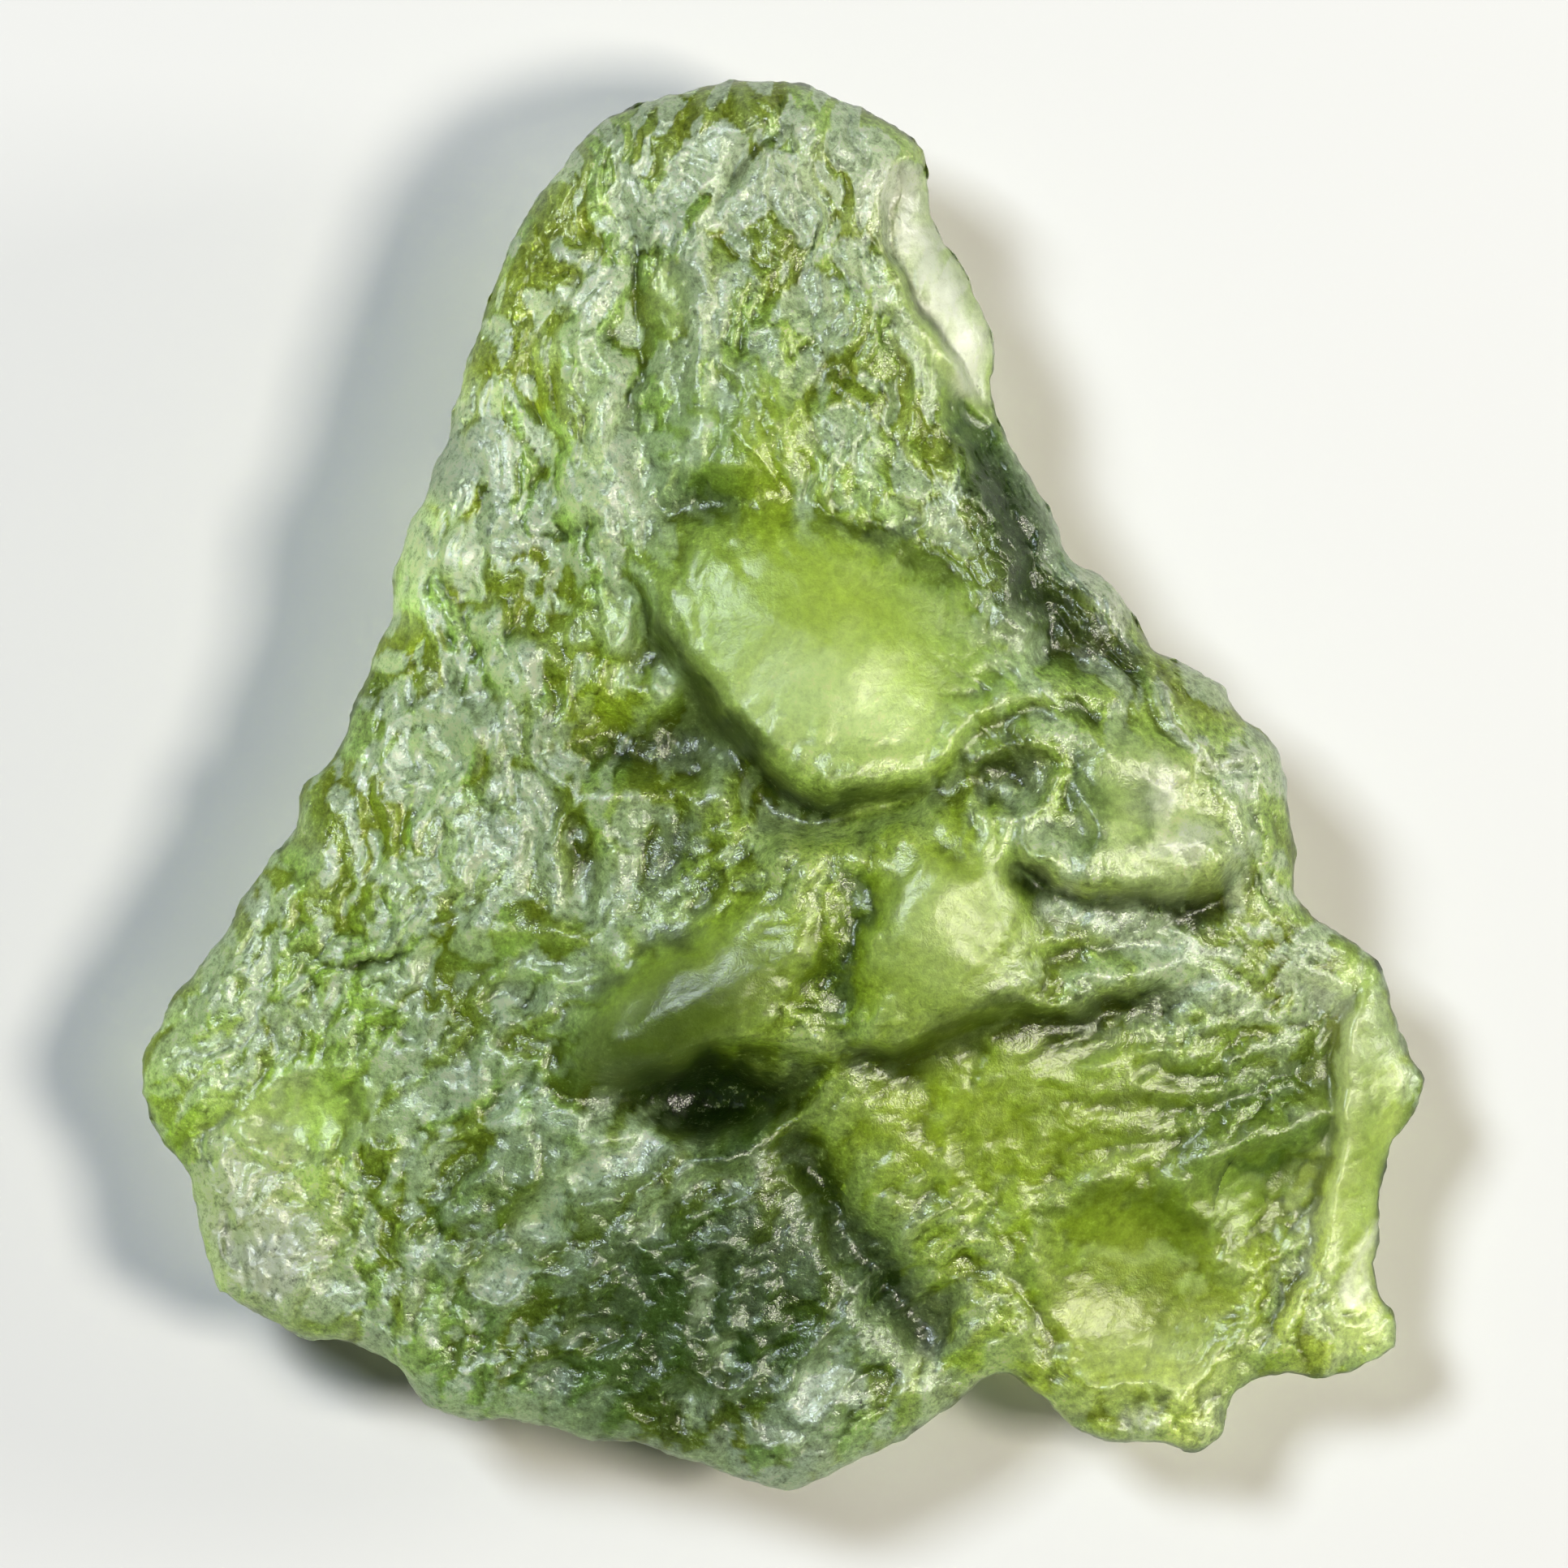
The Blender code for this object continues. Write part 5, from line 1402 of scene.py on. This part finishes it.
@dataclass(frozen=True)
class Stone:
    """The moldavite: two sheets over one outline, and its glass.

    Attributes:
        columns: Grid cells across either sheet.
        rows: Grid cells along either sheet.
        crowding: How much closer the grid lines stand at the rim.
        kept_faces: Share of the triangles that stay when the back is thinned.
        rim_round: How far in from the rim the stone reaches its full thickness.
        least_half: Least rise of a sheet from the middle of the stone's thickness.
        outline: Outline of both sheets.
        face: Relief of the upper sheet.
        back: Relief of the lower sheet.
        tints: Tones of the upper sheet, with painted shade, highlights and sheen.
        glass: Finish of the whole stone.
    """

    columns: int = 250
    rows: int = 300
    crowding: float = 0.35
    kept_faces: float = 0.64
    rim_round: float = 1.3
    least_half: float = 0.35
    outline: Outline = OUTLINE
    face: FaceRelief = FaceRelief()
    back: BackRelief = BackRelief()
    tints: Tints = Tints()
    glass: TektiteGlass = TektiteGlass()

    def parameters(self) -> tuple[Array, Array]:
        """Grid of u and v, whose lines crowd towards the rim by a sine wave.

        Returns:
            u and v of each point, row by row from the bottom.
        """
        def crowd(count: int) -> Array:
            """Shares from 0 to 1, closer together at both ends."""
            share = np.linspace(0.0, 1.0, count + 1)
            return share - self.crowding * np.sin(2.0 * math.pi * share) / (2.0 * math.pi)

        v, u = np.meshgrid(crowd(self.rows), crowd(self.columns), indexing="ij")
        return u.ravel(), v.ravel()

    def sheet(self, side: Side) -> tuple[Array, Array, Array]:
        """Points of one sheet.

        Each point is a place in the outline, and its height is the middle of the stone's thickness plus
        the sheet's rise over it, which swells from the rim inwards as a quarter circle.

        Args:
            side: Which sheet.

        Returns:
            The points in millimetres, how etched each is, and its colour, with painted shade, highlights
            and sheen on the face.
        """
        u, v = self.parameters()
        x, y = self.outline.patch(u, v)
        rim = (u == 0.0) | (u == 1.0) | (v == 0.0) | (v == 1.0)
        inset = np.where(rim, 0.0, self.outline.inset(x, y))
        middle = 0.5 * (self.face.broad(x, y) + self.back.broad(inset))
        swell = np.sqrt(1.0 - (1.0 - np.clip(inset / self.rim_round, 0.0, 1.0)) ** 2)
        if side is Side.FACE:
            height, pits, sheen, own = self.face.height(x, y)
            z = middle + (np.maximum(height, middle + self.least_half) - middle) * swell
            etch = self.face.etch(x, y)
            grid = z.reshape(self.rows + 1, self.columns + 1)
            level = np.clip(0.5 + self.tints.pit_scale * pits, 0.0, 1.0)
            # colours of the face, with painted shade, highlights and sheen
            tint_and_painted_light = self.tints.colours(x, y, grid, level, etch, sheen, own - 0.5)
        else:
            height = self.back.height(x, y, inset)
            z = middle + (np.minimum(height, middle - self.least_half) - middle) * swell
            etch = np.ones_like(x)
            tint_and_painted_light = np.ones((x.size, 3)) * np.array(linear(self.glass.back)[:3])
        return np.column_stack([x, y, z]), etch, tint_and_painted_light

    def faces(self) -> Array:
        """Quads of both sheets, which share the points of the rim.

        Returns:
            Four point numbers a row, wound so that both sheets face out.
        """
        wide = self.columns + 1
        number = np.arange(wide * (self.rows + 1)).reshape(self.rows + 1, wide)
        under = number + number.size
        for rim in (np.s_[0, :], np.s_[-1, :], np.s_[:, 0], np.s_[:, -1]):
            under[rim] = number[rim]
        quads = []
        for grid, order in ((number, (0, 1, 2, 3)), (under, (3, 2, 1, 0))):
            corners = (grid[:-1, :-1], grid[:-1, 1:], grid[1:, 1:], grid[1:, :-1])
            quads.append(np.stack([corners[i].ravel() for i in order], axis=-1))
        return np.vstack(quads)

    def build(self) -> bpy.types.Object:
        """Build the stone's mesh in the box of its CAD node.

        Returns:
            The dressed object.
        """
        face, face_etch, face_tint_and_light = self.sheet(Side.FACE)
        back, back_etch, back_tint = self.sheet(Side.BACK)
        points = np.vstack([face, back])
        etch = np.concatenate([face_etch, back_etch])
        tint_and_painted_light = np.vstack([face_tint_and_light, back_tint])
        quads = self.faces()
        used, flat = np.unique(quads, return_inverse=True)
        points = self.fit(points[used])
        mesh = bpy.data.meshes.new(STONE + "_glass")
        mesh.from_pydata(points.tolist(), [], flat.reshape(-1, 4).tolist())
        worn = mesh.attributes.new("etch", "FLOAT", "POINT")
        worn.data.foreach_set("value", etch[used].astype(np.float32))
        # colours with painted shade, highlights and sheen, which the glass reads as its base colour
        tinted = mesh.attributes.new("tint_and_painted_light", "FLOAT_VECTOR", "POINT")
        tinted.data.foreach_set("vector", tint_and_painted_light[used].astype(np.float32).ravel())
        mesh.shade_smooth()
        mesh.materials.append(self.glass.material())
        stone = bpy.data.objects.new(STONE + "_glass", mesh)
        bpy.context.scene.collection.objects.link(stone)
        self.thin_back(stone, np.flatnonzero(used >= len(face)))
        return stone

    def thin_back(self, stone: bpy.types.Object, back: Array) -> None:
        """Thin the back's mesh, which is coarser than the face, by collapsing its shortest edges.

        Args:
            stone: The stone.
            back: Numbers of the points that lie on the back alone.
        """
        group = stone.vertex_groups.new(name="back")
        group.add(back.tolist(), 1.0, "REPLACE")
        thinning = stone.modifiers.new("thinning", "DECIMATE")
        thinning.ratio = self.kept_faces
        thinning.vertex_group = group.name
        thinning.use_collapse_triangulate = True

    def fit(self, points: Array) -> Array:
        """Turn millimetres into metres and fit the points to the box of the CAD node.

        Args:
            points: Points in millimetres.

        Returns:
            Points in metres, cut level where they would pass the table or the top of the box.
        """
        low, high = (np.array(corner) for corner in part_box(STONE))
        flat = points[:, :2] * MM
        own_low = flat.min(axis=0)
        own_high = flat.max(axis=0)
        share = (flat - own_low) / (own_high - own_low)
        placed = low[:2] + share * (high[:2] - low[:2])
        height = np.clip(points[:, 2] * MM, low[2], high[2])
        return np.column_stack([placed, height])


@dataclass(frozen=True)
class Softbox:
    """Rectangular light that looks at the stone.

    Attributes:
        name: Name of the light.
        place: Its place, in metres.
        width: Its width, in metres.
        depth: Its depth, in metres.
        watts: Its power.
        colour: Its colour, as an sRGB hex value.
    """

    name: str
    place: tuple[float, float, float]
    width: float
    depth: float
    watts: float
    colour: str

    def build(self) -> bpy.types.Object:
        """Place the light and turn it to the stone.

        Returns:
            The light.
        """
        light = bpy.data.lights.new(self.name, "AREA")
        light.shape = "RECTANGLE"
        light.size = self.width
        light.size_y = self.depth
        light.energy = self.watts
        light.color = linear(self.colour)[:3]
        lamp = bpy.data.objects.new(self.name, light)
        lamp.location = self.place
        x, y, z = self.place
        lamp.rotation_euler = (math.atan2(math.hypot(x, y), z), 0.0, math.atan2(x, -y))
        bpy.context.scene.collection.objects.link(lamp)
        return lamp


@dataclass(frozen=True)
class Studio:
    """Floor, lights and camera.

    Attributes:
        floor_half: Half the floor's width, in metres.
        floor_gap: How far the floor lies under the stone's flats, in metres, so that the two don't mix.
        camera_height: Height of the camera over the plane in focus, in metres.
        focus_height: Height of that plane, the stone's rim, in metres.
        frame_width: Width that the photo shows in that plane, in metres.
        frame_x: Where the middle of the photo's frame falls along X, in metres.
        frame_y: Where it falls along Y, in metres.
        sensor: Width of the camera's sensor in millimetres.
        sky: Colour of the room's even light, as an sRGB hex value.
        sky_strength: Strength of that light.
        paint: Paint of the floor.
        softboxes: The three lights.
    """

    floor_half: float = 1.5
    floor_gap: float = 0.00003
    camera_height: float = 0.3
    focus_height: float = 0.003
    frame_width: float = 0.035675
    frame_x: float = 0.000009
    frame_y: float = 0.000046
    sensor: float = 36.0
    sky: str = "#ffffff"
    sky_strength: float = 0.06
    paint: FloorPaint = FloorPaint()
    softboxes: tuple[Softbox, ...] = (
        Softbox("warm_softbox", (0.30, -0.04, 0.42), 0.12, 0.12, 2.7, "#fff9ee"),
        Softbox("low_softbox", (0.46, 0.06, 0.12), 0.12, 0.12, 1.6, "#fffdf6"),
        Softbox("cool_softbox", (-0.22, 0.19, 0.45), 0.14, 0.14, 3.0, "#e8f2ff"),
    )

    def build(self) -> None:
        """Build the floor, the lights, the sky and the camera."""
        self.build_floor()
        for softbox in self.softboxes:
            softbox.build()
        self.build_sky()
        self.build_camera()

    def build_floor(self) -> None:
        """Lay the floor, one square sheet just under the stone's flats."""
        half = self.floor_half
        u, v = np.meshgrid(np.array([-half, half]), np.array([-half, half]))
        corners = np.column_stack([u.ravel(), v.ravel(), np.full(4, -self.floor_gap)])
        mesh = bpy.data.meshes.new("floor")
        mesh.from_pydata(corners.tolist(), [], [(0, 1, 3, 2)])
        mesh.materials.append(self.paint.material())
        floor = bpy.data.objects.new("floor", mesh)
        bpy.context.scene.collection.objects.link(floor)

    def build_sky(self) -> None:
        """Light the room evenly and softly."""
        world = bpy.data.worlds.new("soft_room")
        world.use_nodes = True
        background = world.node_tree.nodes["Background"]
        background.inputs["Color"].default_value = linear(self.sky)
        background.inputs["Strength"].default_value = self.sky_strength
        bpy.context.scene.world = world

    def build_camera(self) -> None:
        """Hang the camera over the stone, looking straight down with +Y up in the picture."""
        data = bpy.data.cameras.new("camera")
        data.sensor_width = self.sensor
        data.lens = self.sensor * self.camera_height / self.frame_width
        data.clip_start = 0.01
        data.clip_end = 10.0
        camera = bpy.data.objects.new("camera", data)
        camera.location = (self.frame_x, self.frame_y, self.focus_height + self.camera_height)
        bpy.context.scene.collection.objects.link(camera)
        bpy.context.scene.camera = camera


def main() -> None:
    """Load the frame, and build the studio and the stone."""
    logging.basicConfig(level=logging.INFO, format="%(name)s: %(message)s")
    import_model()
    scene = bpy.context.scene
    scene.view_settings.view_transform = "Standard"
    scene.view_settings.look = "High Contrast"
    # three lights need no tree to choose between them, and the glass renders a fifth faster without it
    scene.cycles.use_light_tree = False
    Studio().build()
    log.info("studio built")
    stone = Stone().build()
    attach(stone, BODY)
    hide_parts(STONE)
    log.info("stone built, %d faces", len(stone.data.polygons))


if __name__ == "__main__":
    main()
